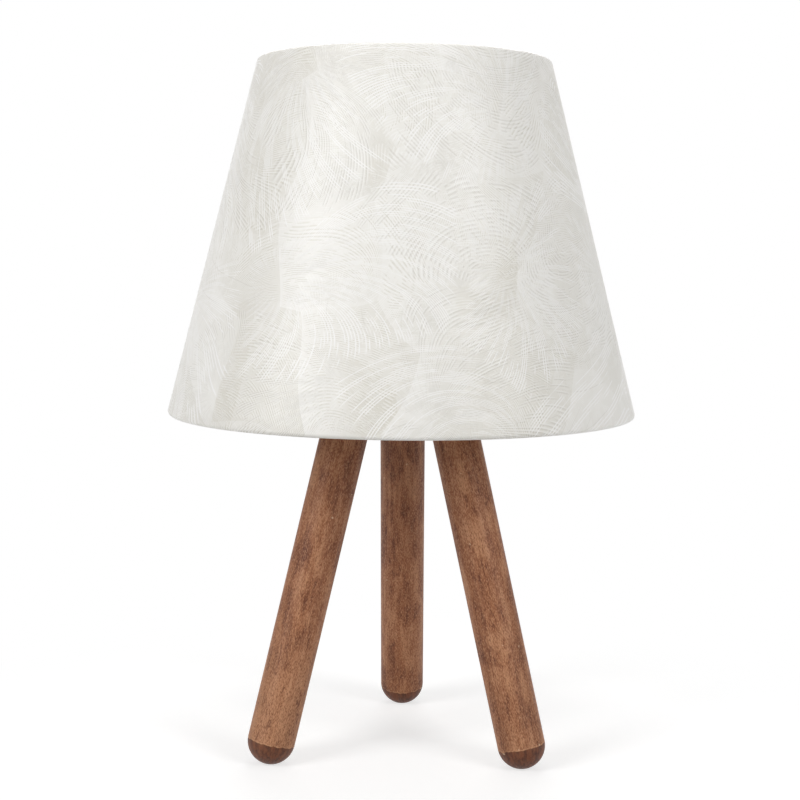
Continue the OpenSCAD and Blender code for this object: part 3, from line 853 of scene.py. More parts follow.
@dataclass(frozen=True)
class MouldedPlastic(Finish):
    """Moulded plastic, fired steatite or stoved enamel, with flow marks and a slightly wavy skin."""

    colour: Colour = srgb(236, 235, 230)
    deeper: Colour = srgb(222, 220, 212)
    roughness: float = 0.28
    wave_mm: float = 4.0
    grit_mm: float = 0.35
    relief_mm: float = 0.02
    grit_low: float = 0.5
    mark_share: float = 0.35
    grit_roughness: float = 0.16
    grit_relief: float = 0.3

    def paint(self, graph: Graph, shader: Node) -> None:
        """Adds the flow marks, the wavy skin and dust in the corners of the grain.

        Args:
            graph: Graph of the material's tree.
            shader: The material's Principled BSDF.
        """
        place = graph.place()
        wave, grit = graph.speckle(place, self.wave_mm), graph.speckle(place, self.grit_mm, Low=self.grit_low)
        rough = self.roughness, self.roughness + self.grit_roughness
        graph.feed(shader, {
            "Base Color": graph.lay(self.colour, self.deeper, graph.plus(wave, grit), self.mark_share),
            "Roughness": graph.ramp(grit, (0.0, 1.0), rough),
            "Normal": graph.bump(graph.blend(self.grit_relief, wave, grit), self.relief_mm),
        })


@dataclass(frozen=True)
class PlatedMetal(Finish):
    """Zinc, nickel or brass sheet with drawing rings, stains and rubbed spots."""

    colour: Colour = srgb(198, 199, 201)
    stain: Colour = srgb(150, 151, 155)
    roughness: float = 0.3
    ring_mm: float = 0.25
    stain_mm: float = 2.5
    relief_mm: float = 0.012
    stain_roughness: float = 0.12
    ring_roughness: float = 0.1
    polish: float = 0.05

    def paint(self, graph: Graph, shader: Node) -> None:
        """Adds the rings, the stains and the uneven gloss.

        Args:
            graph: Graph of the material's tree.
            shader: The material's Principled BSDF.
        """
        place = graph.place()
        rings = graph.effect(LatheRings, Vector=place, Pitch=self.ring_mm * MM)[0]
        spots = graph.speckle(place, self.stain_mm)
        uneven = graph.plus(graph.times(spots, self.stain_roughness), graph.times(rings, self.ring_roughness))
        graph.feed(shader, {
            "Base Color": graph.mix(spots, self.colour, self.stain), "Metallic": 1.0,
            "Roughness": graph.plus(uneven, self.roughness - self.polish),
            "Normal": graph.bump(rings, self.relief_mm),
        })


@dataclass(frozen=True)
class CircuitBoard(Finish):
    """Green solder mask with copper tracks under it and tinned pads."""

    mask: Colour = srgb(34, 92, 58)
    track: Colour = srgb(58, 128, 82)
    pad: Colour = srgb(196, 196, 190)
    track_scale: float = 520.0
    track_w: float = 0.03
    pad_scale: float = 420.0
    pad_play: float = 0.6
    pad_edge: Pair = (0.2, 0.14)
    roughness: Pair = (0.32, 0.2)
    relief_mm: float = 0.03

    def paint(self, graph: Graph, shader: Node) -> None:
        """Adds the tracks between bricks and the pads as round cells.

        Args:
            graph: Graph of the material's tree.
            shader: The material's Principled BSDF.
        """
        place = graph.place()
        upright = graph.split(place)
        board = graph.joined(X=upright["Z"], Y=upright["X"])
        bricks = {"Vector": board, "Scale": self.track_scale, "Mortar Size": self.track_w}
        tracks = graph.add("TexBrick", bricks).outputs["Fac"]
        cells = {"Vector": place, "Scale": self.pad_scale, "Randomness": self.pad_play}
        pad = graph.ramp(graph.add("TexVoronoi", cells).outputs["Distance"], self.pad_edge)
        graph.feed(shader, {
            "Base Color": graph.mix(pad, graph.mix(tracks, self.mask, self.track), self.pad),
            "Roughness": graph.blend(pad, *self.roughness),
            "Normal": graph.bump(graph.plus(tracks, pad), self.relief_mm),
        })


@dataclass(frozen=True)
class PaleFloor(Finish):
    """White studio floor that keeps the lamp's shadow and fades into the white background."""

    colour: Colour = (0.68, 0.68, 0.68, 1.0)
    seen_colour: Colour = (0.5, 0.5, 0.5, 1.0)
    lift: float = 0.65
    fade: Pair = (0.13, 0.26)
    grain_mm: float = 4.0
    grain_share: float = 0.02
    roughness: float = 0.9

    def paint(self, graph: Graph, shader: Node) -> None:
        """Adds the lift to white that only the camera and mirrors see.

        Args:
            graph: Graph of the material's tree.
            shader: The material's Principled BSDF.
        """
        place = graph.place()
        pale = graph.lay(self.colour, WHITE, graph.speckle(place, self.grain_mm), self.grain_share)
        graph.feed(shader, {"Base Color": pale, "Roughness": self.roughness, "Specular IOR Level": 0.0})
        white, lift = (
            graph.add("Emission", {"Color": WHITE, "Strength": strength}).outputs[0]
            for strength in (1.0, self.lift)
        )
        quiet = graph.add("BsdfDiffuse", {"Color": self.seen_colour}).outputs[0]
        lit = graph.add("AddShader", {0: quiet, 1: lift}).outputs[0]
        away = graph.ramp(graph.vector("LENGTH", place), self.fade)
        view = graph.add("MixShader", {"Fac": away, 1: lit, 2: white}).outputs[0]
        result = graph.add("MixShader", {"Fac": graph.seen(), 1: shader.outputs[0], 2: view}).outputs[0]
        graph.feed(graph.tree.nodes["Material Output"], {"Surface": result})


@dataclass(frozen=True)
class Thread:
    """A screw thread cut in a wall that is round about its own axis."""

    radius: float
    low: float
    high: float
    pitch: float
    depth: float
    runout: float
    reach: float = 0.3

    def cut(self, mesh: Mesh) -> None:
        """Moves the points near the thread's radius in along a right-hand helix.

        Args:
            mesh: Turned mesh about Z, in millimetres.
        """
        for point in mesh.verts:
            out = point.co.xy.length
            if abs(out - self.radius) > self.reach or not self.low < point.co.z < self.high:
                continue
            turns = math.atan2(point.co.y, point.co.x) / TAU
            wave = 0.5 - 0.5 * math.cos(TAU * (point.co.z / self.pitch - turns))
            fade = min(1.0, (point.co.z - self.low) / self.runout, (self.high - point.co.z) / self.runout)
            point.co.xy *= 1 - self.depth * wave * fade / out


def turned(
    outline: Outline, steps: int = 96, closed: bool = True, cuts: dict[int, int] | None = None
) -> Mesh:
    """Turns an outline of radius and height about Z.

    Args:
        outline: Points of the outline, in millimetres.
        steps: Segments round the axis.
        closed: Whether the outline's ends are joined.
        cuts: Extra points on an edge of the outline, by its place in it.

    Returns:
        The turned mesh, with its faces outwards.
    """
    mesh = bmesh.new()
    points = [mesh.verts.new((radius, 0.0, height)) for radius, height in outline]
    pairs = list(zip(points, points[1:])) + ([(points[-1], points[0])] if closed else [])
    edges = [mesh.edges.new(pair) for pair in pairs]
    for place, count in (cuts or {}).items():
        bmesh.ops.subdivide_edges(mesh, edges=[edges[place]], cuts=count)
    bmesh.ops.spin(
        mesh, geom=mesh.verts[:] + mesh.edges[:], cent=(0, 0, 0), axis=(0, 0, 1),
        angle=TAU, steps=steps, use_merge=True,
    )
    bmesh.ops.remove_doubles(mesh, verts=mesh.verts, dist=1e-4)
    bmesh.ops.recalc_face_normals(mesh, faces=mesh.faces)
    return mesh


def point_outwards(mesh: Mesh) -> None:
    """Turns the faces of an open turned sheet away from the axis, all alike.

    Args:
        mesh: The sheet.
    """
    mesh.normal_update()
    if sum(face.normal.xy.dot(face.calc_center_median().xy) * face.calc_area() for face in mesh.faces) < 0:
        bmesh.ops.reverse_faces(mesh, faces=mesh.faces)


def finish_mesh(mesh: Mesh, name: str, smooth_angle: float = 40.0) -> Piece:
    """Makes a mesh in millimetres an object in metres at the origin.

    Args:
        mesh: The finished mesh, which is freed.
        name: Name of the piece.
        smooth_angle: Sharpest edge, in degrees, that is shaded smooth.

    Returns:
        The new object, linked to the scene.
    """
    bmesh.ops.scale(mesh, vec=(MM, MM, MM), verts=mesh.verts)
    for face in mesh.faces:
        face.smooth = True
    for edge in mesh.edges:
        edge.smooth = edge.is_boundary or edge.calc_face_angle(0.0) < math.radians(smooth_angle)
    data = bpy.data.meshes.new(name)
    mesh.to_mesh(data)
    mesh.free()
    piece = bpy.data.objects.new(name, data)
    bpy.context.scene.collection.objects.link(piece)
    return piece


def thicken(piece: Piece, wall_mm: float, offset: float) -> None:
    """Gives a sheet its wall.

    Args:
        piece: The sheet.
        wall_mm: Thickness.
        offset: 1 for a wall outside the sheet, -1 for one inside it, 0 for half of each.
    """
    wall = piece.modifiers.new("wall", "SOLIDIFY")
    wall.thickness = wall_mm * MM
    wall.offset = offset
    wall.use_even_offset = True


@dataclass
class SubAssembly(ABC):
    """A group of pieces that is built and dressed together, with its sizes in millimetres."""

    label: ClassVar[str]

    def place(self, piece: Piece, finish: Finish, body: Body, slot: Slot, *replaces: str) -> None:
        """Dresses a new piece and lets it ride on its body.

        Args:
            piece: The piece.
            finish: Its finish.
            body: Body that it moves with.
            slot: Material slot of the record; not used.
            *replaces: CAD nodes that it stands for.
        """
        piece.data.materials.append(finish.material())
        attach(piece, body.value)
        if replaces:
            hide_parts(*replaces)
        LOG.info("%s: %s, %d faces", self.label, piece.name, len(piece.data.polygons))

    def dress(self, finish: Finish, *nodes: str) -> None:
        """Gives CAD nodes a finish.

        Args:
            finish: Their finish.
            *nodes: Names of the nodes.
        """
        for node in nodes:
            for slot in frame["nodes"][node].material_slots:
                slot.material = finish.material()
            LOG.info("%s: %s dressed with %s", self.label, node, finish.name)

    @abstractmethod
    def build(self) -> None:
        """Builds the new pieces and dresses the CAD nodes."""


ZINC = PlatedMetal("zinc_plate")
BRASS = PlatedMetal("drawn_brass", srgb(205, 170, 96), srgb(168, 132, 70), 0.26, 0.2, 3.0)
NICKEL = PlatedMetal("nickel_plate", srgb(206, 202, 194), srgb(170, 165, 156), 0.2, 0.18, 3.5)
ALUMINIUM = PlatedMetal("led_plate", srgb(214, 216, 218), srgb(186, 188, 191), 0.38, 0.3, 2.0)
HOLDER_PLASTIC = MouldedPlastic("holder_plastic")
STEATITE = MouldedPlastic("fired_steatite", srgb(228, 221, 204), srgb(206, 196, 174), 0.46, 1.5, 0.2, 0.03)
BLACK_GLASS = MouldedPlastic("black_insulator", srgb(26, 25, 28), srgb(38, 37, 42), 0.12, 3.0, 0.4)
ENAMEL = MouldedPlastic("white_enamel", srgb(234, 234, 231), srgb(214, 213, 208), 0.34, 2.0, 0.5, 0.03)
HOUSING_PLASTIC = MouldedPlastic("bulb_plastic", srgb(240, 240, 238), srgb(228, 228, 225), 0.36)
LINING = PaleSheet("shade_lining", srgb(236, 232, 221), srgb(226, 220, 206), 0.42)
OPAL = PaleSheet("opal_globe", srgb(242, 242, 240), srgb(236, 236, 233), 0.3, 18.0, 0.25, 0.004)
PHOSPHOR = PaleSheet("phosphor", srgb(232, 196, 62), srgb(214, 172, 44), 0.5, 2.0, 0.15)


@dataclass
class Tripod(SubAssembly):
    """Three round legs, the hub on them and the screws that hold them.

    The sizes of the head's recess are shares of the head's radius.
    """

    label = "tripod"
    # share of painted light towards each leg's foot
    painted_foot_lights: ClassVar[dict[str, float]] = {"leg_left": 0.4, "leg_right": 0.12, "leg_rear": 0.0}
    seed_step: float = 0.31
    hub_seed: float = 2.7
    hub_grain: float = 0.4
    leg_d: float = 22.0
    crease_drop: float = 0.6
    sole_cut: float = 0.3
    screw_d: float = 4.0
    head_d: float = 8.0
    head_taper: float = 0.6
    screw_l: float = 50.0
    point_l: float = 6.0
    tip_r: float = 0.3
    smooth_l: float = 14.0
    screw_pitch: float = 1.8
    thread_depth: float = 0.65
    thread_runout: float = 1.5
    shank_rows: int = 150
    steps: int = 32
    screw_gap: float = 0.2
    recess_reach: float = 0.62
    recess_inner: float = 0.3
    recess_half_w: float = 0.1
    recess_depth: float = 0.45
    recess_floor: float = 0.55

    def axis(self, leg: str) -> Matrix:
        """Works out a leg's axis from its foot's mount and the leg's top.

        Args:
            leg: Name of the leg.

        Returns:
            Matrix from the leg's own millimetres, with Z up the leg, to the lamp's.
        """
        mounts = {mount["name"]: mount for mount in frame["record"]["mounts"]}
        foot = Vector(mounts[leg.replace("leg", "foot")]["pos_m"]) / MM
        foot.z = math.hypot(self.leg_d / 2, self.crease_drop) - self.sole_cut
        corners = [corner.co / MM for corner in frame["nodes"][leg].data.vertices]
        top_z = max(corner.z for corner in corners)
        reaches = [corner.xy.dot(foot.xy.normalized()) for corner in corners if corner.z > top_z - NEAR]
        top_r = (min(reaches) + max(reaches)) / 2
        splay = math.atan2(foot.xy.length - top_r, top_z - foot.z)
        turn = math.atan2(foot.y, foot.x)
        return Matrix.Translation(foot) @ Matrix.Rotation(turn, 4, "Z") @ Matrix.Rotation(-splay, 4, "Y")

    def screw(self, head_z: float) -> Mesh:
        """Makes one countersunk wood screw with a cross recess, on Z.

        Args:
            head_z: Height of the head's top on the leg's axis.

        Returns:
            The screw's mesh.
        """
        shank, head = self.screw_d / 2, self.head_d / 2
        neck, tip = head_z - self.head_taper * head, head_z - self.screw_l
        taper = tip + self.point_l
        outline = [(head, head_z), (shank, neck), (shank, taper), (self.tip_r, tip), (0.0, tip)]
        mesh = turned(outline, self.steps, closed=False, cuts={1: self.shank_rows})
        thread = Thread(
            shank, taper, neck - self.smooth_l, self.screw_pitch, self.thread_depth, self.thread_runout
        )
        thread.cut(mesh)
        self.cross_recess(mesh, head_z)
        bmesh.ops.recalc_face_normals(mesh, faces=mesh.faces)
        return mesh

    def cross_recess(self, mesh: Mesh, top: float) -> None:
        """Closes a screw's open head with a cross-shaped recess.

        Args:
            mesh: The screw.
            top: Height of the head's top.
        """
        head, at_top = self.head_d / 2, Matrix.Translation((0, 0, top))
        rim = [edge for edge in mesh.edges if edge.is_boundary and edge.verts[0].co.z > top - NEAR]
        grid = bmesh.ops.create_grid(
            mesh, x_segments=3, y_segments=3, size=self.recess_reach * head, matrix=at_top
        )
        half_w = self.recess_half_w * head
        for point in grid["verts"]:
            for i in (0, 1):
                if abs(point.co[i]) < self.recess_inner * head:
                    point.co[i] = math.copysign(half_w, point.co[i])
        faces = dict.fromkeys(face for point in grid["verts"] for face in point.link_faces)
        corners = [face for face in faces if min(map(abs, face.calc_center_median().xy)) > half_w]
        cross = [face for face in faces if face not in corners]
        bmesh.ops.delete(mesh, geom=corners, context="FACES")
        outline = [edge for face in cross for edge in face.edges if edge.is_boundary]
        bmesh.ops.bridge_loops(mesh, edges=rim + list(dict.fromkeys(outline)))
        deep = bmesh.ops.extrude_face_region(mesh, geom=cross, use_keep_orig=False)["geom"]
        sunk = [item for item in deep if isinstance(item, bmesh.types.BMVert)]
        bmesh.ops.delete(mesh, geom=[face for face in cross if face.is_valid], context="FACES_ONLY")
        bmesh.ops.scale(mesh, vec=(self.recess_floor, self.recess_floor, 1), verts=sunk)
        bmesh.ops.translate(mesh, vec=(0, 0, -self.recess_depth * head), verts=sunk)

    def build(self) -> None:
        """Dresses the wood and builds the three screws."""
        hub = NodeBox.of("hub_block")
        heads = bpy.data.meshes.new("screws")
        joined = bmesh.new()
        for place, (node, pale) in enumerate(self.painted_foot_lights.items(), 1):
            axis = self.axis(node)
            place_and_turn = tuple(axis.translation), tuple(axis.to_euler("XYZ"))
            name, seed = f"stained_{node}", self.seed_step * place
            self.dress(StainedWood(name, *place_and_turn, -self.crease_drop, seed, pale), node)
            lean = math.acos(axis[2][2])
            head_z = (hub.hi.z - axis.translation.z) / math.cos(lean)
            head_z -= self.head_d / 2 * math.tan(lean) + self.screw_gap
            screw = self.screw(head_z)
            bmesh.ops.transform(screw, matrix=axis, verts=screw.verts)
            screw.to_mesh(heads)
            screw.free()
            joined.from_mesh(heads)
        bpy.data.meshes.remove(heads)
        grain = (0, math.pi / 2, self.hub_grain)
        self.dress(StainedWood("stained_hub", (0, 0, hub.lo.z), grain, seed=self.hub_seed), "hub_block")
        self.place(finish_mesh(joined, "cross_head_screws"), ZINC, Body.BASE, Slot.STEEL, "leg_screws")


@dataclass
class Stem(SubAssembly):
    """Threaded tube, its nuts and washers, and the bush at its foot."""

    label = "stem"
    bore_r: float = 4.0
    bevel: float = 0.4
    pitch: float = 1.0
    thread_depth: float = 0.5
    rows_per_turn: int = 8
    steps: int = 48
    smooth_angle: float = 75.0

    def build(self) -> None:
        """Builds the threaded tube and dresses its fittings."""
        tube = NodeBox.of("stem_tube")
        low, high, radius, bevel = tube.lo.z, tube.hi.z, tube.radius, self.bevel
        outline = [
            (self.bore_r, low), (radius - bevel, low), (radius, low + bevel),
            (radius, high - bevel), (radius - bevel, high), (self.bore_r, high),
        ]
        mesh = turned(outline, self.steps, cuts={2: round(self.rows_per_turn * tube.height / self.pitch)})
        Thread(radius, low + bevel, high - bevel, self.pitch, self.thread_depth, self.pitch).cut(mesh)
        piece = finish_mesh(mesh, "threaded_stem", self.smooth_angle)
        self.place(piece, ZINC, Body.BASE, Slot.STEEL, "stem_tube")
        self.dress(ZINC, "lower_washer", "lower_nut", "upper_washer", "upper_nut")
        self.dress(HOLDER_PLASTIC, "cord_bush")


@dataclass
class Lampholder(SubAssembly):
    """Cap, insulator, contacts, screw shell, skirt and the shade's ring nut.

    Gaps are what a thread leaves plain below and above it. The lip is how far the shell's mouth
    flares out, and how far under its box's top it ends.
    """

    label = "lampholder"
    foot_r: float = 21.0
    shoulder_r: float = 23.5
    shoulder_t: float = 3.0
    shoulder_edge: float = 0.3
    seat_h: float = 14.0
    socket_r: float = 19.3
    socket_h: float = 4.2
    core_r: float = 17.85
    core_h: float = 5.0
    chamber_r: float = 16.2
    chamber_edge: float = 0.85
    thread_r: float = 19.9
    thread_edge: float = 0.5
    thread_pitch: float = 3.0
    thread_depth: float = 0.7
    thread_gaps: Pair = (0.2, 0.4)
    thread_runout: float = 1.6
    thread_rows: int = 54
    ribs: int = 24
    rib_h: float = 0.5
    rib_gap: float = 0.4
    rib_rows: int = 11
    steps: int = 192
    skirt_angle: float = 50.0
    shell_t: float = 0.4
    shell_wall: float = 0.32
    shell_pitch: float = 3.62
    shell_depth: float = 0.5
    shell_gaps: Pair = (1.5, 1.0)
    shell_runout: float = 2.0
    shell_rows: int = 60
    shell_angle: float = 60.0
    base_in: float = 0.8
    base_h: float = 1.2
    mouth_h: float = 0.8
    lip: Pair = (0.5, 0.3)
    eye_r: float = 7.0

    def skirt(self) -> Piece:
        """Builds the skirt with its ribs, the shoulder that carries the shade and the outside thread.

        Returns:
            The skirt.
        """
        box = NodeBox.of("holder_skirt")
        low, high, shoulder_r, edge = box.lo.z, box.hi.z, self.shoulder_r, self.shoulder_edge
        seat = low + self.seat_h
        ledge = seat - self.shoulder_t
        outline = [
            (self.socket_r, low), (self.foot_r, low), (self.foot_r, ledge), (shoulder_r - edge, ledge),
            (shoulder_r, ledge + edge), (shoulder_r, seat - edge), (shoulder_r - edge, seat),
            (self.thread_r, seat), (self.thread_r, high - self.thread_edge),
            (self.thread_r - self.thread_edge, high), (self.chamber_r + self.chamber_edge, high),
            (self.chamber_r, high - self.chamber_edge), (self.chamber_r, low + self.core_h),
            (self.core_r, low + self.core_h), (self.core_r, low + self.socket_h),
            (self.socket_r, low + self.socket_h),
        ]
        mesh = turned(outline, self.steps, cuts={1: self.rib_rows, 7: self.thread_rows})
        start, end = seat + self.thread_gaps[0], high - self.thread_gaps[1]
        Thread(self.thread_r, start, end, self.thread_pitch, self.thread_depth, self.thread_runout).cut(mesh)
        for point in mesh.verts:
            out = point.co.xy.length
            if abs(out - self.foot_r) < NEAR and low + self.rib_gap < point.co.z < ledge - NEAR:
                turn = math.atan2(point.co.y, point.co.x)
                swell = self.rib_h * max(0.0, math.cos(self.ribs * turn)) ** 2
                point.co.xy *= 1 + swell / out
        return finish_mesh(mesh, "ribbed_skirt", self.skirt_angle)

    def shell(self) -> Piece:
        """Builds the drawn shell with its rolled thread and the eye over the middle contact.

        Returns:
            The shell, as a sheet that gets its wall on both sides.
        """
        box = NodeBox.of("screw_shell")
        low, high = box.lo.z, box.hi.z
        wall_r = box.radius - 2 * self.shell_t
        outline = [
            (self.eye_r, low + self.shell_t), (wall_r - self.base_in, low + self.shell_t),
            (wall_r, low + self.base_h), (wall_r, high - self.mouth_h),
            (wall_r + self.lip[0], high - self.lip[1]),
        ]
        mesh = turned(outline, closed=False, cuts={2: self.shell_rows})
        start, end = low + self.shell_gaps[0], high - self.shell_gaps[1]
        Thread(wall_r, start, end, self.shell_pitch, -self.shell_depth, self.shell_runout).cut(mesh)
        point_outwards(mesh)
        piece = finish_mesh(mesh, "rolled_screw_shell", self.shell_angle)
        thicken(piece, self.shell_wall, 0.0)
        return piece

    def build(self) -> None:
        """Builds the skirt and the shell and dresses the rest."""
        self.place(self.skirt(), HOLDER_PLASTIC, Body.BASE, Slot.PLASTIC, "holder_skirt")
        self.place(self.shell(), BRASS, Body.BASE, Slot.BRASS, "screw_shell")
        self.dress(HOLDER_PLASTIC, "holder_cap", "clamp_ring")
        self.dress(STEATITE, "holder_core")
        self.dress(BRASS, "terminals", "contact_rivets", "centre_contact")
        self.dress(ZINC, "terminal_screws", "holder_grub_screw")


@dataclass
class Shade(SubAssembly):
    """Printed cover rolled round two hoops, its lining, and the arms down to the fitter ring.

    The notches' span is measured down the arms from the upper hoop.
    """

    label = "shade"
    cover_t: float = 0.4
    hem_w: float = 8.0
    liner_t: float = 0.4
    sheet_gap: float = 0.05
    lap_w: float = 12.0
    lap_ease: float = 16.0
    sheet_steps: int = 240
    hem_steps: int = 3
    roll_steps: int = 14
    wall_steps: int = 26
    smooth_angle: float = 80.0
    arm_wire_r: float = 1.5
    arm_bend_r: float = 5.0
    arm_turns: tuple[float, ...] = (90.0, 210.0, 330.0)
    notch_play: float = 0.45
    notch_span: Pair = (0.6, 12.0)
    bead_in: float = 1.9
    bead_side: float = 1.3
    bead_up: float = 0.2
    bead_size: tuple[float, float, float] = (1.8, 0.85, 0.6)
    ripple_h: float = 0.06
    ripples: float = 5.0

    def __post_init__(self) -> None:
        """Takes the hoops' places from the frame and works out the wall between them."""
        bottom, top, cover = NodeBox.of("bottom_hoop"), NodeBox.of("top_hoop"), NodeBox.of("shade_cover")
        wire_r = bottom.height / 2
        self.foot = Vector((bottom.radius - wire_r, bottom.middle_z))
        self.head = Vector((top.radius - wire_r, top.middle_z))
        self.roll_r = self.foot.y - cover.lo.z
        self.up = (self.head - self.foot).normalized()
        self.inward = Vector((-self.up.y, self.up.x))
        self.wall_l = (self.head - self.foot).length

    def printed_face(self) -> list[Vector]:
        """Follows the printed face from the lower hem's edge, round the hoop and up to the other hem.

        Returns:
            Points of radius and height, in millimetres.
        """
        hem_depth = 2 * self.cover_t + self.liner_t + 2 * self.sheet_gap - self.roll_r
        start = math.asin(hem_depth / self.roll_r)
        hem_foot = self.roll_r * math.cos(start)
        points = []
        for place in range(self.hem_steps):
            rise = self.hem_w + (hem_foot - self.hem_w) * place / self.hem_steps
            points.append(self.foot + rise * self.up + hem_depth * self.inward)
        for place in range(self.roll_steps + 1):
            turn = start + (1.5 * math.pi - start) * place / self.roll_steps
            points.append(self.foot + self.roll_r * (math.sin(turn) * self.inward + math.cos(turn) * self.up))
        lower = list(points)
        for place in range(1, self.wall_steps):
            points.append(lower[-1] + self.wall_l * place / self.wall_steps * self.up)
        upper = [point + (self.wall_l - 2 * (point - self.foot).dot(self.up)) * self.up for point in lower]
        return points + upper[::-1]

    def cover(self) -> Piece:
        """Rolls a flat sheet into the cover, with its ends lapped at the back.

        Returns:
            The cover, with a UV map of the flat sheet in metres.
        """
        face = self.printed_face()
        last = len(face) - 1
        steps = [(after - before).length for before, after in zip(face, face[1:])]
        runs = [sum(steps[:place]) for place in range(len(face))]
        cone = -self.up.x
        wall_row = self.hem_steps + self.roll_steps
        apex = face[wall_row].x / cone + runs[wall_row]
        mesh = bmesh.new()
        bmesh.ops.create_grid(mesh, x_segments=self.sheet_steps, y_segments=last, size=0.5)

        def across_and_row(point: bmesh.types.BMVert) -> tuple[float, int]:
            """Reads a point of the flat grid: its share of the sheet's length, and its row."""
            return point.co.x + 0.5, round((point.co.y + 0.5) * last)

        def sweep(share: float, row: int) -> float:
            """Returns how far round the axis a point lies, from the sheet's start."""
            return share * (TAU + self.lap_w / face[row].x)

        def start(row: int) -> float:
            """Returns the direction where the sheet starts, half a lap before the back."""
            return math.pi / 2 - self.lap_w / face[row].x / 2

        flat = mesh.loops.layers.uv.new(SHEET_MAP)
        for quad in mesh.faces:
            for corner in quad.loops:
                share, row = across_and_row(corner.vert)
                spread = (start(row) + sweep(share, row) - 1.5 * math.pi) * cone
                reach = (apex - runs[row]) * MM
                corner[flat].uv = (reach * math.sin(spread), -reach * math.cos(spread))
        for point in mesh.verts:
            share, row = across_and_row(point)
            along = (face[min(row + 1, last)] - face[max(row - 1, 0)]).normalized()
            before_lap = (TAU - sweep(share, row)) * face[row].x / self.lap_ease
            climb = min(1.0, max(0.0, 1 - before_lap))
            lift = (self.cover_t + self.sheet_gap) * climb**2 * (3 - 2 * climb)
            radius, height = face[row] + lift * Vector((along.y, -along.x))
            turn = start(row) + sweep(share, row)
            point.co = (radius * math.cos(turn), radius * math.sin(turn), height)
        self.notch(mesh)
        piece = finish_mesh(mesh, "rolled_cover", self.smooth_angle)
        thicken(piece, self.cover_t, -1.0)
        return piece

    def notch(self, mesh: Mesh) -> None:
        """Opens the upper hem where the three arms pass through it.

        Args:
            mesh: The rolled cover.
        """
        ring = NodeBox.of("fitter_ring")
        corner = Vector((ring.radius + self.arm_bend_r, ring.hi.z + self.arm_wire_r))
        reach = self.arm_wire_r + self.notch_play
        mesh.normal_update()
        cut = []
        for turn in map(math.radians, self.arm_turns):
            head = Vector((self.head.x * math.cos(turn), self.head.x * math.sin(turn), self.head.y))
            foot = Vector((corner.x * math.cos(turn), corner.x * math.sin(turn), corner.y))
            down = (foot - head).normalized()
            for quad in mesh.faces:
                away = quad.calc_center_median() - head
                along = away.dot(down)
                if self.notch_span[0] < along < self.notch_span[1] and (away - along * down).length < reach:
                    cut.append(quad)
        bmesh.ops.delete(mesh, geom=list(dict.fromkeys(cut)), context="FACES")

    def weld_beads(self) -> Piece:
        """Builds the weld beads on both sides of each arm's foot.

        Returns:
            The beads as one piece.
        """
        ring = NodeBox.of("fitter_ring")
        size = Matrix.Diagonal((*self.bead_size, 1.0))
        mesh = bmesh.new()
        for turn in map(math.radians, self.arm_turns):
            for side in (-self.bead_side, self.bead_side):
                place = Matrix.Translation((ring.radius - self.bead_in, side, ring.hi.z + self.bead_up))
                shape = Matrix.Rotation(turn, 4, "Z") @ place @ size
                bmesh.ops.create_icosphere(mesh, subdivisions=3, radius=1.0, matrix=shape)
        for point in mesh.verts:
            point.co.z += self.ripple_h * math.sin(self.ripples * point.co.xy.length)
        return finish_mesh(mesh, "weld_beads")

    def build(self) -> None:
        """Builds the cover and the beads and dresses the wire frame and the lining."""
        printed = PrintedCover("printed_cover_finish")
        self.place(self.cover(), printed, Body.SHADE, Slot.PRINT, "shade_cover")
        self.place(self.weld_beads(), ENAMEL, Body.SHADE, Slot.WIRE)
        self.dress(ENAMEL, "fitter_ring", "spider_arms", "top_hoop", "bottom_hoop")
        self.dress(LINING, "shade_liner")


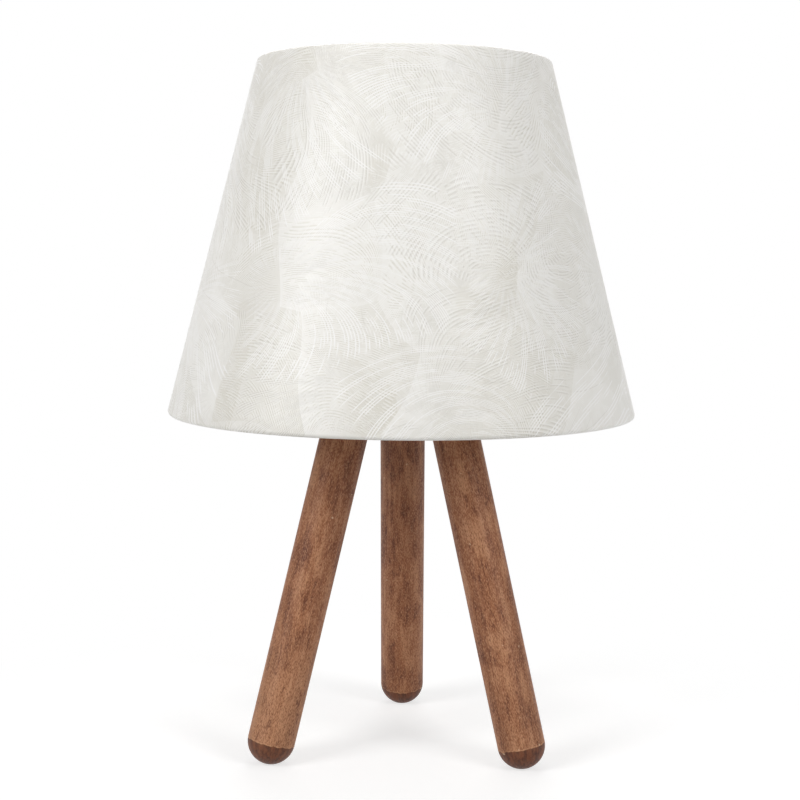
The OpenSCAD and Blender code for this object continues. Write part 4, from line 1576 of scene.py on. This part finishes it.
@dataclass
class Bulb(SubAssembly):
    """Globe bulb with its screw base, which unscrews upwards.

    The base's corner lies in from its wall and up from its foot, and its wall starts above the
    foot and ends under the rim. The pulls shape the flare's two ends.
    """

    label = "bulb"
    cap_t: float = 0.3
    cap_pitch: float = 3.62
    cap_depth: float = 0.5
    cap_runout: float = 2.0
    cap_rows: int = 54
    cap_angle: float = 60.0
    cap_foot_in: float = 2.5
    cap_corner: Pair = (0.4, 2.1)
    cap_wall: Pair = (3.0, 1.4)
    cap_lip: float = 0.2
    cap_lip_h: float = 0.9
    cap_thread_gap: float = 1.8
    wall: float = 1.6
    neck_r: float = 12.1
    base_gap: float = 0.05
    flare_out: float = 0.6
    foot_pull: tuple[float, float, float] = (0.9, 0.0, 5.0)
    brim_pull: tuple[float, float, float] = (-0.4, 0.0, -8.0)
    flare_points: int = 14
    ledge: Pair = (1.5, 1.5)
    neck_h: float = 1.0
    housing_angle: float = 35.0

    def cap(self) -> Piece:
        """Builds the base's shell: cone, rolled thread and crimped rim.

        Returns:
            The shell, with its wall inwards.
        """
        box = NodeBox.of("bulb_cap")
        low, high, radius = box.lo.z, box.hi.z, box.radius
        foot, top = low + self.cap_wall[0], high - self.cap_wall[1]
        outline = [
            (radius - self.cap_foot_in, low), (radius - self.cap_corner[0], low + self.cap_corner[1]),
            (radius, foot), (radius, top), (radius + self.cap_lip, high - self.cap_lip_h),
            (radius + self.cap_lip, high),
        ]
        mesh = turned(outline, closed=False, cuts={2: self.cap_rows})
        end = high - self.cap_thread_gap
        Thread(radius, foot, end, self.cap_pitch, self.cap_depth, self.cap_runout).cut(mesh)
        point_outwards(mesh)
        piece = finish_mesh(mesh, "rolled_bulb_cap", self.cap_angle)
        thicken(piece, self.cap_t, -1.0)
        return piece

    def housing(self) -> Piece:
        """Builds the housing, which flares in one smooth curve from the base to the globe.

        Returns:
            The housing.
        """
        box, base = NodeBox.of("bulb_housing"), NodeBox.of("bulb_cap")
        flare_z, top, low = base.hi.z + self.base_gap, box.hi.z, box.lo.z
        foot = Vector((base.radius + self.flare_out, 0, flare_z))
        brim = Vector((box.radius, 0, top))
        pulls = foot + Vector(self.foot_pull), brim + Vector(self.brim_pull)
        curve = interpolate_bezier(foot, *pulls, brim, self.flare_points)
        inner, seat, bore = box.radius - self.wall, top - self.wall, self.neck_r - self.wall
        ledge_r, ledge_z = inner - self.ledge[0], seat - self.ledge[1]
        outline = [
            (bore, low), (self.neck_r, low), (self.neck_r, flare_z), *((point.x, point.z) for point in curve),
            (inner, top), (inner, seat), (ledge_r, seat), (ledge_r, ledge_z), (bore, flare_z + self.neck_h),
        ]
        return finish_mesh(turned(outline), "flared_housing", self.housing_angle)

    def build(self) -> None:
        """Builds the base's shell and the housing and dresses the rest."""
        self.place(self.cap(), NICKEL, Body.BULB, Slot.NICKEL, "bulb_cap")
        self.place(self.housing(), HOUSING_PLASTIC, Body.BULB, Slot.PLASTIC, "bulb_housing")
        self.dress(OPAL, "bulb_globe")
        self.dress(BLACK_GLASS, "bulb_insulator")
        self.dress(NICKEL, "bulb_tip")
        self.dress(CircuitBoard("driver_board_mask"), "driver_board")
        self.dress(ALUMINIUM, "led_board")
        self.dress(PHOSPHOR, "led_chips")


@dataclass(frozen=True)
class PhotoCamera:
    """Camera fitted to the lamp's outline in the photograph, with its turns in radians."""

    focal_px: float = 1534.66
    sensor_mm: float = 36.0
    place_mm: tuple[float, float, float] = (-0.887, -723.49, 237.05)
    pitch: float = 0.09745
    yaw: float = 0.00035
    roll: float = 0.00974
    sight: float = 40.0

    def build(self) -> None:
        """Makes the camera and sets it as the scene's."""
        level_right = Vector((math.cos(self.yaw), -math.sin(self.yaw), 0))
        ahead = math.cos(self.pitch) * Vector((math.sin(self.yaw), math.cos(self.yaw), 0))
        ahead.z = -math.sin(self.pitch)
        level_up = level_right.cross(ahead)
        right = math.cos(self.roll) * level_right + math.sin(self.roll) * level_up
        up = math.cos(self.roll) * level_up - math.sin(self.roll) * level_right
        data = bpy.data.cameras.new("photo_camera")
        data.sensor_width = self.sensor_mm
        data.lens = self.focal_px * self.sensor_mm / PHOTO_SIDE
        data.clip_end = self.sight
        camera = bpy.data.objects.new("photo_camera", data)
        turned_to = Matrix((right, up, -ahead)).transposed().to_4x4()
        camera.matrix_world = Matrix.Translation(Vector(self.place_mm) * MM) @ turned_to
        bpy.context.scene.collection.objects.link(camera)
        bpy.context.scene.camera = camera


@dataclass(frozen=True)
class SoftBox:
    """Soft light over or beside the lamp, turned to it; its sizes are in metres, its turns in degrees."""

    name: str
    azimuth: float
    elevation: float
    distance: float
    width: float
    height: float
    watts: float
    aim_z: float = 0.2

    def build(self) -> None:
        """Makes the light, turned to the lamp; azimuth 0 is from the camera's side."""
        turn, rise = math.radians(self.azimuth), math.radians(self.elevation)
        away = Vector((math.sin(turn) * math.cos(rise), -math.cos(turn) * math.cos(rise), math.sin(rise)))
        data = bpy.data.lights.new(self.name, "AREA")
        data.shape = "RECTANGLE"
        data.size = self.width
        data.size_y = self.height
        data.energy = self.watts
        light = bpy.data.objects.new(self.name, data)
        light.location = Vector((0, 0, self.aim_z)) + self.distance * away
        light.rotation_euler = away.to_track_quat("Z", "Y").to_euler()
        bpy.context.scene.collection.objects.link(light)


@dataclass
class Studio:
    """White floor and background, soft lights in front, overhead and behind, and the camera."""

    floor_half: float = 6.0
    floor_cells: int = 8
    ambient: float = 0.03
    lights: tuple[SoftBox, ...] = (
        SoftBox("left_softbox", -52.0, 22.0, 1.15, 0.46, 0.7, 7.2),
        SoftBox("right_softbox", 46.0, 22.0, 1.15, 0.46, 0.7, 6.0),
        SoftBox("top_softbox", 0.0, 88.0, 1.0, 0.6, 0.6, 4.2),
        SoftBox("back_softbox", 176.0, 36.0, 1.3, 0.8, 0.6, 4.6),
    )

    def build(self) -> None:
        """Makes the stage and sets how colours are shown."""
        bpy.context.scene.view_settings.view_transform = "Standard"
        mesh = bmesh.new()
        cells = self.floor_cells
        bmesh.ops.create_grid(mesh, x_segments=cells, y_segments=cells, size=self.floor_half / MM)
        floor = finish_mesh(mesh, "studio_floor")
        floor.data.materials.append(PaleFloor("pale_floor").material())
        self.background()
        for light in self.lights:
            light.build()
        PhotoCamera().build()
        LOG.info("studio: floor, background, %d lights and camera", len(self.lights))

    def background(self) -> None:
        """Makes the world white to the camera and in reflections, and a soft fill light otherwise."""
        world = bpy.data.worlds.new("white_background")
        world.use_nodes = True
        bpy.context.scene.world = world
        graph = Graph(world.node_tree)
        strength = graph.blend(graph.seen(), self.ambient, 1.0)
        graph.feed(world.node_tree.nodes["Background"], {"Color": WHITE, "Strength": strength})


def main() -> None:
    """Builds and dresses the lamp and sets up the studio."""
    logging.basicConfig(level=logging.INFO, format="%(name)s: %(message)s")
    for part in (Tripod(), Stem(), Lampholder(), Shade(), Bulb()):
        part.build()
    Studio().build()


if __name__ == "__main__":
    main()
